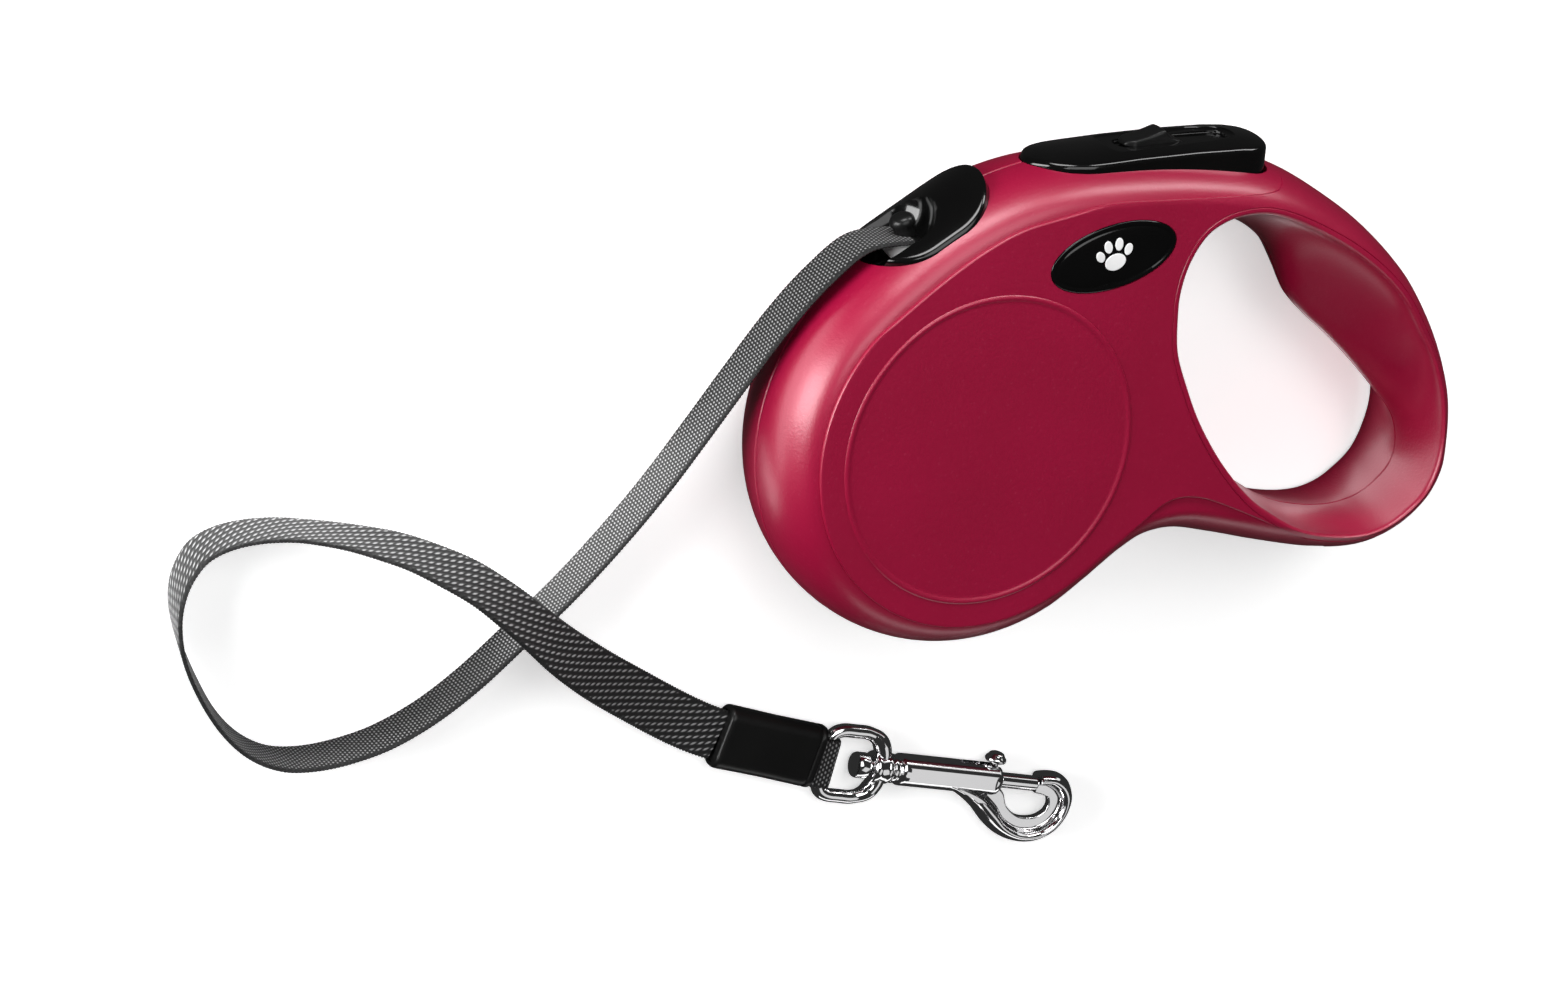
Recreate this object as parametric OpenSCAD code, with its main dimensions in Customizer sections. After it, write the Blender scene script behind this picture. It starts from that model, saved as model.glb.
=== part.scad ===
// Retractable tape leash lying on its side: two-part case with a loop handle,
// sprung reel, brake button with a sliding lock, free tape and a swivel bolt snap.
// Millimetres, +Z up. z = 0 is the resting face, the origin is on the reel axis.

/* [Case] */
// thickness of the case across both halves
case_thickness = 34; // [33:0.5:35]
// how far the crowned flank draws in from the joint line to the side face
flank_inset = 8.5; // [8:0.5:9]
// depth of the raised side panel above the flank
panel_step = 0.7; // [0.5:0.1:0.9]
// radius of the round disc on each side panel
disc_radius = 35; // [32:1:36]

/* [Reel] */
// radius of the hub the tape winds on
hub_radius = 11; // [10:0.5:13]
// outer radius of the wound tape
winding_radius = 38; // [36:0.5:38]
// radius of the reel flanges
flange_radius = 40; // [39:0.5:40.5]
// depth of the brake teeth
tooth_depth = 3; // [2.5:0.25:3]
// radius of the fixed axle
axle_radius = 4; // [3.5:0.25:4.5]

/* [Tape] */
// width of the tape
tape_width = 12; // [10:0.5:12]
// thickness of the tape
tape_thickness = 1; // [0.8:0.1:1.1]

/* [Brake] */
// width of the brake button across the case
button_width = 20; // [18:0.5:20]
// radius of the pin the button turns on
pivot_radius = 1.25; // [1:0.05:1.4]
// height of the thumb ridge on the lock slider
ridge_height = 2.2; // [1.6:0.2:2.8]

/* [Snap hook] */
// radius of the hook barrel
barrel_radius = 3.75; // [3.5:0.05:3.8]
// radius of the sliding bolt
bolt_radius = 1.8; // [1.6:0.05:1.9]
// half thickness of the hook arm
arm_half = 3.6; // [3:0.1:3.7]
// radius of the swivel eye's wire
wire_radius = 1.6; // [1.4:0.05:1.7]

/* [Hidden] */
$fn = 64;
mid = case_thickness / 2;
half = case_thickness / 2;
face_h = half - 1;
run = 0.06;
body_red = [0.74, 0.02, 0.36];
black = [0.06, 0.06, 0.07];
dark = [0.15, 0.15, 0.16];
steel = [0.72, 0.73, 0.75];
chrome = [0.85, 0.86, 0.88];
nylon = [0.85, 0.84, 0.8];

case_radius = 48.7;
// case outline at the joint, handle side: from the far end over the top
top_pts = [[126, -10], [125, 1], [121.5, 11.5], [116, 22], [108.5, 32.3], [98, 42],
    [87, 49.5], [76, 55.5], [65, 59], [50, 61], [35, 61.7], [20, 61.3], [8, 59.5],
    [-4, 55.6], [-15, 49.7], [-24, 43.3]];
// and back along the underside of the handle
low_pts = [[35.5, -34], [40.5, -30.3], [46, -27.5], [54, -26.8], [65, -29], [78, -32.2],
    [92, -35], [104, -35.2], [114, -31.5], [121.5, -25], [125.3, -17.5]];
outline_pts = concat(top_pts,
    [for (a = [129:13:311]) case_radius * [cos(a), sin(a)]], low_pts);

// hand hole, rim on the side face and waist at the joint
rim_pts = [[119.7, -9.7], [118.5, 1.5], [115, 11], [110, 19], [105, 26.3], [98.8, 32.4],
    [90, 38.7], [81.5, 43.4], [73, 47.2], [66, 49.3], [60, 49.5], [54.5, 48.2],
    [50, 45.2], [46.6, 39.5], [45, 33], [45, 27], [46, 19], [49.3, 10.8], [54, 1.6],
    [61, -8.4], [69, -16.9], [76, -21.9], [83, -25.8], [90, -28], [98.4, -29],
    [105, -28.3], [111, -25.4], [117, -19.4]];
waist_pts = [[117.8, -13], [115.5, -6.2], [109.5, 0.5], [102, 8], [95, 14.3],
    [88.5, 19.5], [82.5, 25.3], [79, 31.5], [75, 38], [68, 43], [61, 44.9], [55.5, 44],
    [51.3, 41.8], [48.4, 37.3], [46.9, 32], [46.6, 26.5], [47.7, 19.2], [51, 11.5],
    [55.6, 2.7], [62.3, -7.2], [70.1, -15.5], [76.8, -20.3], [83.6, -24], [90.3, -26.1],
    [98.3, -27.2], [104.8, -26.8], [110.8, -24.6], [116.6, -19.2]];
rim_h = half - 2;
// edge of the raised side panel, round the reel and then back beside the hand hole
panel_pts = concat([[70, 53.4], [66.5, 54.9], [50, 54.9], [35, 55], [24, 54.4], [13, 52.2],
    [3, 49.8], [-7, 45.5], [-17, 38.8]],
    [for (a = [125:13:313]) 41.1 * [cos(a), sin(a)]],
    [[34, -25.6], [41, -20.2], [46.5, -16.4], [52, -15.4], [58, -16.6], [63, -18.3],
    [64.8, -17.6], [64.2, -15.6], [58.8, -9.6], [52.2, 0.8], [47.4, 10.2],
    [44.2, 18.8], [43.2, 27], [43.3, 33.4], [44.9, 40.5], [48.8, 46.8], [54, 50], [60, 51.2],
    [67, 51]]);

screw_pts = [[50.5, -21], [42.5, 44], [77.5, 49.8], [6.5, 51.8]];
screw_shank = 1.4;
screw_head = 2.6;

// smooth closed curve through points, k steps between each pair
function mixpt(a, b, c, d, t) = 0.5 * (2 * b + (c - a) * t + (2 * a - 5 * b + 4 * c - d) * t * t
    + (3 * b - a - 3 * c + d) * t * t * t);
function smooth(p, k) = let (n = len(p)) [for (i = [0:n - 1], j = [0:k - 1])
    mixpt(p[(i + n - 1) % n], p[i], p[(i + 1) % n], p[(i + 2) % n], j / k)];
// outward direction at point i of a counter-clockwise curve
function outward(p, i) = let (n = len(p), d = p[(i + 1) % n] - p[(i + n - 1) % n])
    [d[1], -d[0]] / norm(d);
function inset(p, w) = [for (i = [0:len(p) - 1]) p[i] - (is_num(w) ? w : w[i]) * outward(p, i)];
function at_height(p, h) = [for (q = p) [q[0], q[1], h]];
function s_curve(t) = t * t * (3 - 2 * t);

outline = smooth(outline_pts, 2);
rim = smooth(rim_pts, 2);
waist = smooth(waist_pts, 2);
// width of the crowned flank at each outline point, less where the handle is narrow
flank = [for (p = outline) min(flank_inset, min([for (q = rim) norm(p - q)]) - 1.8)];
// crown of the flank: height above the joint and matching inset
function crown(h) = flank * (1 - sqrt(1 - pow(h / (half - 0.98), 2)));
crown_levels = [1.5, 4, 6.5, 8.8, 10.7, 12.3, 13.6, 14.6, 15.3, face_h - 0.04];
function waist_ring(t) = [for (i = [0:len(rim) - 1])
    waist[i] + (rim[i] - waist[i]) * s_curve(t)];

// stacked rings of equal count joined into one closed solid
module loft(rings) {
    n = len(rings[0]);
    m = len(rings);
    polyhedron(
        points = [for (r = rings, q = r) q],
        faces = concat(
            [[for (i = [0:n - 1]) i]],
            [[for (i = [n - 1:-1:0]) (m - 1) * n + i]],
            [for (k = [0:m - 2], i = [0:n - 1]) let (a = k * n + i, b = k * n + (i + 1) % n)
                [a, a + n, b]],
            [for (k = [0:m - 2], i = [0:n - 1]) let (a = k * n + i, b = k * n + (i + 1) % n)
                [b, a + n, b + n]]),
        convexity = 8);
}

module crowned_block() {
    intersection() {
        loft(concat([at_height(outline, -2)],
            [for (h = crown_levels) at_height(inset(outline, crown(h)), h)]));
        translate([-60, -60, 0]) cube([200, 140, face_h - 0.15]);
    }
    translate([0, 0, face_h - 1]) linear_extrude(1 + panel_step) polygon(smooth(panel_pts, 2));
    translate([0, 0, face_h]) cylinder(r = disc_radius, h = half - face_h, $fn = 120);
}

module hand_hole() {
    loft(concat([at_height(waist, -1), at_height(waist, 1)],
        [for (h = [3, 5, 7.5, 10, 12, 13.7, rim_h]) at_height(waist_ring(h / rim_h), h)],
        [at_height(rim, half + 2)]));
}

// room for the reel, stepped to follow the crown
module reel_room() {
    translate([0, 0, -1]) {
        cylinder(r = 46.4, h = 8, $fn = 96);
        cylinder(r = 45, h = 11.4, $fn = 96);
        cylinder(r = 43, h = 14, $fn = 96);
        cylinder(r = 40.5, h = half - 1, $fn = 96);
    }
}

bay_half = button_width / 2 + 0.3;
bay_floor = 51.2;
pivot_pt = [16, 55.5];
// plan of the button, measured along X and across the case
button_plan = [[11, 0], [12, 3.4], [14.3, 6.4], [17.5, 8.7], [21.5, 9.8], [26, 10], [62, 10],
    [65.6, 9.2], [68, 7.2], [69.4, 4.2], [69.8, 0]];
function mirrored(p) = concat(p, [for (i = [len(p) - 2:-1:1]) [p[i][0], -p[i][1]]]);
function plan_scaled(g, swing = 0) = [for (q = button_plan)
    [40.4 + (q[0] - 40.4) * (29.4 + g + (q[0] > 40.4 ? swing : 0)) / 29.4,
        q[1] * (button_width / 2 + g) / 10]];
// extra room at the front of the bay for the button's swing
button_swing = 0.4;

module button_bay() {
    // slot for the button, cut down from the top edge
    translate([0, 72, 0]) rotate([90, 0, 0]) linear_extrude(72 - bay_floor)
        polygon(mirrored(plan_scaled(0.3, button_swing)));
    // passage for the pawl down to the reel
    translate([19, 30, -1]) cube([18, 26, 12.4]);
    // seat of the pivot lug
    translate([pivot_pt[0], pivot_pt[1], -1]) cylinder(r = 4.2, h = bay_half + 1);
}

roller_pt = [-17.3, 41.4];
outlet_pt = [-17.5, 48.4];
outlet_turn = 32;
plug_round = 13;
plug_reach = 2.3;
plug_shift = 2.4;
module stadium(r, reach, h) {
    for (s = [-1, 1]) translate([s * reach, 0, 0]) cylinder(r = r, h = h, $fn = 72);
    translate([-reach, -r, 0]) cube([2 * reach, 2 * r, h]);
}
// frame of the outlet: x along the case edge, y out of it, z up, on the mid-plane
module at_outlet() {
    translate([outlet_pt[0], outlet_pt[1], 0]) rotate([0, 0, outlet_turn]) children();
}
// the same frame turned so a cylinder's height points out of the case
module out_of_case() {
    at_outlet() rotate([-90, 0, 0]) children();
}
// turns of the slot before and after the mouth, from the case edge
slot_out = 153;
slot_in = 132;
module tape_mouth() {
    at_outlet() translate([-1.3, -3.1, 0]) {
        rotate([0, 0, slot_out]) translate([-1.5, -1.6, -tape_width / 2 - 0.5])
            cube([20, 3.2, tape_width + 1]);
        rotate([0, 0, slot_in]) translate([-16, -1.5, -tape_width / 2 - 0.9])
            cube([22, 3, tape_width + 1.8]);
    }
}

module half_case() {
    difference() {
        crowned_block();
        hand_hole();
        reel_room();
        button_bay();
        pin_holes();
        out_of_case() translate([plug_shift, 0, -9]) stadium(plug_round, plug_reach, 20);
    }
}

pin_reach = bay_half + 1.6;
roller_reach = 11.8;
module pin_holes() {
    translate([pivot_pt[0], pivot_pt[1], -1]) cylinder(r = pivot_radius, h = pin_reach + 1, $fn = 32);
    translate([roller_pt[0], roller_pt[1], -1]) cylinder(r = 1.2, h = roller_reach + 1, $fn = 32);
}

module left_casing() {
    color(body_red) translate([0, 0, mid]) difference() {
        union() {
            half_case();
            // boss that steadies the free end of the axle
            translate([0, 0, 13.6]) cylinder(r = 7, h = 1.6);
        }
        translate([0, 0, 10]) cylinder(r = axle_radius, h = 4.8);
        for (p = screw_pts) translate([p[0], p[1], -1]) cylinder(r = screw_shank, h = 9, $fn = 32);
        badge_seat();
    }
}

module right_casing() {
    color(body_red) translate([0, 0, mid]) mirror([0, 0, 1]) difference() {
        union() {
            half_case();
            translate([0, 0, 13.6]) cylinder(r = 7, h = 1.6);
        }
        translate([0, 0, 10]) cylinder(r = axle_radius, h = 5.2);
        for (p = screw_pts) translate([p[0], p[1], -1]) {
            cylinder(r = screw_shank + 0.1, h = half + 4, $fn = 32);
            translate([0, 0, 11]) cylinder(r = screw_head + 0.2, h = half, $fn = 32);
        }
    }
}

module casing_screws() {
    color(steel) for (p = screw_pts) translate([p[0], p[1], 0]) difference() {
        union() {
            translate([0, 0, 5]) cylinder(r = screw_head, h = 2, $fn = 32);
            translate([0, 0, 6]) cylinder(r = screw_shank, h = 17, $fn = 32);
        }
        for (a = [0, 90]) rotate([0, 0, a]) translate([-1.7, -0.35, 4.5]) cube([3.4, 0.7, 1.5]);
    }
}

badge_pt = [26.3, 42.6];
badge_turn = 12;
badge_long = 15.7;
badge_short = 7.4;
function oval(a, b, n) = [for (i = [0:n - 1]) [a * cos(i * 360 / n), b * sin(i * 360 / n)]];
module badge_seat() {
    translate([badge_pt[0], badge_pt[1], face_h - 0.6]) rotate([0, 0, badge_turn])
        linear_extrude(4) polygon(oval(badge_long, badge_short, 56));
}
module badge() {
    color(black) translate([badge_pt[0], badge_pt[1], mid + face_h - 0.6])
        rotate([0, 0, badge_turn]) {
        linear_extrude(1.35) polygon(oval(badge_long, badge_short, 56));
        linear_extrude(1.5) polygon(oval(badge_long - 0.9, badge_short - 0.9, 56));
        linear_extrude(1.75) polygon(oval(badge_long - 2.6, badge_short - 2.4, 56));
    }
}

module outlet_bezel() {
    color(black) translate([0, 0, mid]) difference() {
        intersection() {
            out_of_case() translate([plug_shift, 0, -8]) stadium(plug_round, plug_reach, 9.4);
            // crown across the case
            at_outlet() translate([-20, -22.7, 0]) rotate([0, 90, 0])
                cylinder(r = 23.6, h = 45, $fn = 120);
        }
        out_of_case() translate([-1.5, 0, 8.7]) sphere(r = 10.6, $fn = 72);
        tape_mouth();
        cylinder(r = 43.2, h = 40, center = true, $fn = 120);
        // clear of the guide roller
        translate([roller_pt[0], roller_pt[1], -12]) cylinder(r = 3.9, h = 24);
    }
}

module guide_knob() {
    color(dark) translate([0, 0, mid]) at_outlet() translate([0.6, 0.8, 0.6]) {
        sphere(r = 2.7, $fn = 40);
        rotate([0, 0, -40]) rotate([0, 90, 0]) cylinder(r = 1.3, h = 4.4, $fn = 32);
    }
}

module guide_roller() {
    color(nylon) translate([roller_pt[0], roller_pt[1], mid - tape_width / 2 - 0.4])
        difference() {
            union() {
                cylinder(r = 3, h = tape_width + 0.8);
                cylinder(r = 3.4, h = 0.35);
                translate([0, 0, tape_width + 0.45]) cylinder(r = 3.4, h = 0.35);
            }
            translate([0, 0, -1]) cylinder(r = 1.2 + run, h = 20, $fn = 32);
        }
}
module roller_pin() {
    color(steel) translate([roller_pt[0], roller_pt[1], mid - roller_reach])
        cylinder(r = 1.2, h = 2 * roller_reach, $fn = 32);
}

// reel, from the spring cup up
cup_low = 2.9;
channel = tape_width + 0.4;
flange_low = mid - channel / 2;
flange_high = mid + channel / 2;
cup_radius = 31.5;
module drum() {
    color(dark) difference() {
        union() {
            translate([0, 0, cup_low + 0.2]) cylinder(r = cup_radius, h = flange_low - cup_low - 0.8);
            translate([0, 0, flange_low - 1.2]) cylinder(r = flange_radius, h = 1.2, $fn = 96);
            translate([0, 0, flange_low]) cylinder(r = hub_radius, h = channel);
            translate([0, 0, flange_high]) cylinder(r = flange_radius, h = 1.2, $fn = 96);
            translate([0, 0, flange_high + 1]) cylinder(r = 8, h = 5.6);
        }
        translate([0, 0, -1]) cylinder(r = axle_radius + run, h = 40);
        // spring cup, open downwards
        translate([0, 0, 1]) cylinder(r = cup_radius - 1.6, h = flange_low - 2.6);
        // hollow of the hub, and lightening holes in the flange
        for (a = [0:60:359]) rotate([0, 0, a]) translate([24, 0, flange_high - 1])
            cylinder(r = 6, h = 4);
    }
}
module cup_cover() {
    color(steel) translate([0, 0, cup_low - 0.5]) difference() {
        cylinder(r = cup_radius, h = 0.7);
        translate([0, 0, -1]) cylinder(r = 7.6, h = 3);
    }
}
teeth = 24;
tooth_tip = 42.5;
gap_angle = 50;
module ratchet_ring() {
    color(nylon) translate([0, 0, flange_high + 1.2]) difference() {
        linear_extrude(3) union() {
            circle(r = tooth_tip - tooth_depth, $fn = 96);
            for (i = [0:teeth - 1]) rotate(gap_angle + (i + 0.5) * 360 / teeth)
                polygon([[38, -2.6], [tooth_tip, -1.4], [tooth_tip, 1.4], [38, 2.6]]);
        }
        translate([0, 0, -1]) cylinder(r = 33, h = 6, $fn = 96);
    }
}
module axle() {
    color(steel) translate([0, 0, 2.1]) {
        cylinder(r = axle_radius, h = case_thickness - 4.6);
    }
}
// flat coil spring in the cup
coil_turns = 5;
coil_step = 15;
function coil_r(a) = axle_radius + 2 + (cup_radius - 5 - axle_radius) * a / (coil_turns * 360);
module mainspring() {
    a_end = coil_turns * 360;
    color(steel) translate([0, 0, cup_low + 0.6]) linear_extrude(flange_low - cup_low - 2.6)
        polygon(concat(
            [for (a = [0:coil_step:a_end]) coil_r(a) * [cos(a), sin(a)]],
            [for (a = [a_end:-coil_step:0]) (coil_r(a) + 0.8) * [cos(a), sin(a)]]));
}
module tape_winding() {
    color(black) translate([0, 0, mid - tape_width / 2]) difference() {
        cylinder(r = winding_radius, h = tape_width, $fn = 96);
        translate([0, 0, -1]) cylinder(r = hub_radius, h = tape_width + 2);
    }
}

// the tape inside the case: from the winding over the roller to the mouth
mouth_pt = [-17, 45.1];
leave_angle = 73;
lead_start = (winding_radius + 0.3 + tape_thickness / 2) * [cos(leave_angle), sin(leave_angle)];
module strip(a, b, w) {
    d = b - a;
    translate([a[0], a[1], mid - tape_width / 2]) rotate([0, 0, atan2(d[1], d[0])])
        translate([0, -w / 2, 0]) cube([norm(d), w, tape_width]);
}
module tape_lead() {
    color(black) {
        strip(lead_start, mouth_pt, tape_thickness);
        translate([mouth_pt[0], mouth_pt[1], mid - tape_width / 2])
            cylinder(r = tape_thickness / 2, h = tape_width, $fn = 24);
    }
}

// brake button and its parts
top_line = [[10.6, 59.6], [11, 62], [14, 62.7], [20, 63.1], [35, 63.8], [50, 64.3], [61, 64.5],
    [66, 64.2], [69, 63.6], [70.6, 62.6]];
skirt_low = 56.2;
module button_solid(g) {
    intersection() {
        translate([0, 70, 0]) rotate([90, 0, 0]) linear_extrude(20)
            polygon(mirrored(plan_scaled(g)));
        translate([0, 0, -12]) linear_extrude(24)
            polygon(concat([[70.6, skirt_low], [22, skirt_low], [18, 58.4]],
                [for (q = top_line) [q[0], q[1] + 2 * g]]));
    }
}
slide_from = 35.4;
slide_long = 12.2;
slide_travel = 10;
module brake_button() {
    color(black) translate([0, 0, mid]) difference() {
        union() {
            difference() {
                button_solid(0);
                // hollow under the top
                translate([23, 50, -button_width / 2 + 1.7]) cube([42, 11.6, button_width - 3.4]);
            }
            // pivot lug
            translate([pivot_pt[0], pivot_pt[1], -7]) cylinder(r = 2.9, h = 14);
            translate([pivot_pt[0] - 2.9, pivot_pt[1], -4.6]) cube([5.8, 5.5, 9.2]);
        }
        translate([pivot_pt[0], pivot_pt[1], -12]) cylinder(r = pivot_radius + run, h = 24, $fn = 32);
        // room for the return spring
        translate([pivot_pt[0], pivot_pt[1], 7]) cylinder(r = 3.4, h = 4);
        // shallow track for the slider and the slot its stem runs in
        translate([slide_from - 0.3, 63.3, -3.4])
            cube([slide_long + slide_travel + 0.6, 3, 6.8]);
        translate([slide_from + 3.2, 58, -1.4]) cube([5.6 + slide_travel + 0.8, 8, 2.8]);
    }
}
module lock_slider() {
    color(dark) translate([0, 0, mid]) {
        translate([slide_from, 63.4, -3.1]) cube([slide_long, 1.1, 6.2]);
        translate([0, 64.4, -2.8]) linear_extrude(5.6)
            polygon([[slide_from + 0.6, 0], [slide_from + 9, ridge_height],
                [slide_from + 9.8, ridge_height], [slide_from + slide_long - 0.4, 0]]);
        translate([slide_from + 3.6, 60.6, -1.2]) cube([5.4, 3.2, 2.4]);
        translate([slide_from + 2.6, 59.8, -3]) cube([7.4, 1.3, 6]);
    }
}
pawl_low = flange_high + 1.5;
module brake_pawl() {
    color(steel) translate([0, 0, pawl_low]) linear_extrude(2.2)
        polygon([[24, 62], [24, 50], [25.4, 41], [25.9, 35], [27.2, 33.6], [29.2, 33.4],
            [30.6, 36], [32.6, 44], [34, 50], [34, 62]]);
}
module button_pivot() {
    color(steel) translate([pivot_pt[0], pivot_pt[1], mid - pin_reach])
        cylinder(r = pivot_radius, h = 2 * pin_reach, $fn = 32);
}
// return spring: coils round the pivot and a leg under the button
module button_spring() {
    color(steel) translate([pivot_pt[0], pivot_pt[1], mid + 7.5]) {
        for (k = [0:2]) translate([0, 0, k * 0.9]) rotate_extrude($fn = 40)
            translate([2.6, 0]) circle(r = 0.4, $fn = 14);
        translate([0, -2.9, -0.25]) cube([7, 0.5, 0.5]);
    }
}

// free tape: centre points with height, and the lean of its width from upright
tape_pts = [[mouth_pt[0], mouth_pt[1], mid, 0], [-28, 44.1, mid, 0], [-37, 37, mid - 0.4, 0],
    [-44.5, 27.6, mid - 1.8, 0], [-52, 15.6, mid - 3.8, 0], [-60, 2.2, mid - 6, 0], [-67.5, -10, mid - 8, 0],
    [-76, -21.5, 7.6, 0], [-87, -34, 6.6, 0], [-99, -45, 6.3, 0], [-108, -52.8, 6.3, 0],
    [-117.5, -59.4, 6.3, 0], [-127.5, -64.2, 6.3, 1], [-137, -66.6, 6.3, 2],
    [-145.5, -67.3, 6.3, 3], [-153, -66.2, 6.3, 5], [-160, -62.4, 6.3, 8],
    [-166, -56.2, 6.3, 11], [-171, -48, 6.3, 14], [-174.8, -39.4, 6.3, 14],
    [-176.6, -31.6, 6.3, 10], [-176.4, -25.5, 6.3, 6], [-174.6, -20.6, 6.3, 3],
    [-171.6, -17, 6.3, 0], [-166.6, -14.8, 6.4, -2], [-160.4, -13.9, 6.6, -3],
    [-153.5, -14, 7, -4], [-147, -14.9, 7.6, -6], [-140.4, -16.1, 8.7, -10],
    [-134, -17.6, 10.2, -16], [-127.6, -19.4, 12, -23], [-121, -22.2, 13.8, -31],
    [-112.6, -26.6, 15.8, -40], [-104.8, -32.4, 16.8, -48], [-98, -38.2, 16.6, -54],
    [-91.6, -43.8, 15.2, -60], [-85, -49, 13, -66], [-77.6, -54.4, 10.2, -72],
    [-68.6, -60.4, 7.4, -78], [-58.6, -66.8, 5, -84], [-51, -71.1, 4.1, -88]];
sleeve_turn = -17.5;
hook_turn = -12;
hook_z = 3.9;
eye_pt = [-19, -83.05];
sleeve_end = [-19.6, -81.9];
sleeve_long = 26.4;
sleeve_half = 3.4;
sleeve_wide = 14.8;
sleeve_start = sleeve_end - sleeve_long * [cos(sleeve_turn), sin(sleeve_turn)];
path_pts = concat(tape_pts, [[sleeve_start[0], sleeve_start[1], hook_z, -90]]);
function open_smooth(p, k) = let (n = len(p) - 1) concat(
    [for (i = [0:n - 1], j = [0:k - 1])
        mixpt(p[max(i - 1, 0)], p[i], p[i + 1], p[min(i + 2, n)], j / k)], [p[n]]);
path = open_smooth(path_pts, 2);
function flat3(q) = [q[0], q[1], q[2]];
function direction(i) = let (n = len(path) - 1,
    d = i == n ? [cos(sleeve_turn), sin(sleeve_turn), 0]
        : flat3(path[i + 1]) - flat3(path[max(i - 1, 0)])) d / norm(d);
// eight-sided flat section, turned about the direction of travel
section = let (w = tape_width / 2, t = tape_thickness / 2) [[w - 0.3, -t], [w, -t + 0.3],
    [w, t - 0.3], [w - 0.3, t], [0.3 - w, t], [-w, t - 0.3], [-w, 0.3 - t], [0.3 - w, -t]];
function tape_ring(i) = let (d = direction(i), side = [-d[1], d[0], 0] / norm([d[0], d[1]]),
    up = cross(d, side), a = path[i][3],
    wide = up * cos(a) + side * sin(a), thin = cross(wide, d))
    [for (s = section) flat3(path[i]) + wide * s[0] + thin * s[1]];
module leash_tape() {
    color(black) loft([for (i = [len(path) - 1:-1:0]) tape_ring(i)]);
}

// frames of the sleeve and of the hook: x along the axis, z up
module at_sleeve() {
    translate([sleeve_end[0], sleeve_end[1], hook_z]) rotate([0, 0, sleeve_turn]) children();
}
module at_hook() {
    translate([eye_pt[0], eye_pt[1], hook_z]) rotate([0, 0, hook_turn]) children();
}
module along(u) {
    translate([u, 0, 0]) rotate([0, 90, 0]) children();
}
module tape_sleeve() {
    w = sleeve_wide / 2;
    h = sleeve_half;
    c = 1.8;
    color(black) at_sleeve() translate([-sleeve_long, 0, 0]) rotate([90, 0, 90])
        linear_extrude(sleeve_long) polygon([[w - c, -h], [w - 0.5, c - h], [w, -0.6], [w, 0.6],
            [w - 0.5, h - c], [w - c, h], [c - w, h], [0.5 - w, h - c], [-w, 0.6], [-w, -0.6],
            [0.5 - w, c - h], [c - w, -h]]);
}
bar_u = 1.7;
module tape_eye_loop() {
    inner = wire_radius + 0.3;
    outer = inner + 0.9;
    color(black) at_hook() translate([0, 5.6, 0]) rotate([90, 0, 0]) linear_extrude(11.2)
        difference() {
            union() {
                translate([bar_u, 0]) circle(r = outer, $fn = 48);
                translate([-0.4, -outer]) square([bar_u + 0.4, 2 * outer]);
            }
            translate([bar_u, 0]) circle(r = inner, $fn = 48);
            translate([bar_u - 4, -inner]) square([4, 2 * inner]);
        }
}

// swivel eye: rounded ring with a bored boss on its far side
eye_far = 16.6;
eye_side = 7.9;
corner_near = 3.4;
corner_far = 5;
module wire_bend(u, v, r, turn) {
    translate([u, v, 0]) rotate([0, 0, turn]) rotate_extrude(angle = 90, $fn = 48)
        translate([r, 0]) circle(r = wire_radius, $fn = 24);
}
module wire(a, b) {
    d = b - a;
    translate([a[0], a[1], 0]) rotate([0, 0, atan2(d[1], d[0])]) rotate([0, 90, 0])
        cylinder(r = wire_radius, h = norm(d), $fn = 24);
}
module swivel_eye() {
    a = eye_side - corner_near;
    b = eye_side - corner_far;
    color(chrome) at_hook() difference() {
        union() {
            wire([bar_u, -a], [bar_u, a]);
            wire([eye_far, -b], [eye_far, b]);
            for (s = [-1, 1]) wire([bar_u + corner_near, s * eye_side],
                [eye_far - corner_far, s * eye_side]);
            wire_bend(bar_u + corner_near, a, corner_near, 90);
            wire_bend(bar_u + corner_near, -a, corner_near, 180);
            wire_bend(eye_far - corner_far, b, corner_far, 0);
            wire_bend(eye_far - corner_far, -b, corner_far, 270);
            along(14.2) cylinder(r = 3.7, h = 4.6, $fn = 48);
        }
        along(12) cylinder(r = 1.7 + run, h = 9, $fn = 32);
    }
}

// hook: barrel with stem, and the curved arm
arm_pts = [[34, -2.6], [38.5, -4.2], [43.5, -7], [48, -10.6], [52.6, -13.2], [58, -14.3],
    [63, -13.7], [67, -11], [69.4, -6.8], [70, -2.4], [68.6, 1], [65.6, 3], [62.4, 3.5],
    [59.7, 3.1], [59.7, -2.2], [62.6, -2.5], [64.2, -4.3], [63.6, -6.6], [61.2, -8],
    [57.8, -8.4], [54.4, -7.4], [52.2, -5.4], [51.3, -3.4], [50.8, -2.2], [48.6, -1.4],
    [34, 0]];
function arm_inset(w) = inset(arm_pts, w);
module hook_body() {
    color(chrome) at_hook() difference() {
        union() {
            along(21) cylinder(r = barrel_radius, h = 27.6, $fn = 48);
            along(19.2) cylinder(r = 3.3, h = 2, $fn = 48);
            along(12.4) cylinder(r = 1.7, h = 7.2, $fn = 32);
            along(9.8) cylinder(r = 3, h = 3.6, $fn = 48);
            translate([0, 0, -arm_half + 1]) linear_extrude(2 * arm_half - 2) polygon(arm_pts);
            translate([0, 0, -arm_half]) linear_extrude(2 * arm_half) polygon(arm_inset(0.7));
        }
        along(23) cylinder(r = bolt_radius + run, h = 28, $fn = 40);
        // slot for the thumb knob
        translate([37.4, 0, -1.25]) cube([12, 6, 2.5]);
    }
}
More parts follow.
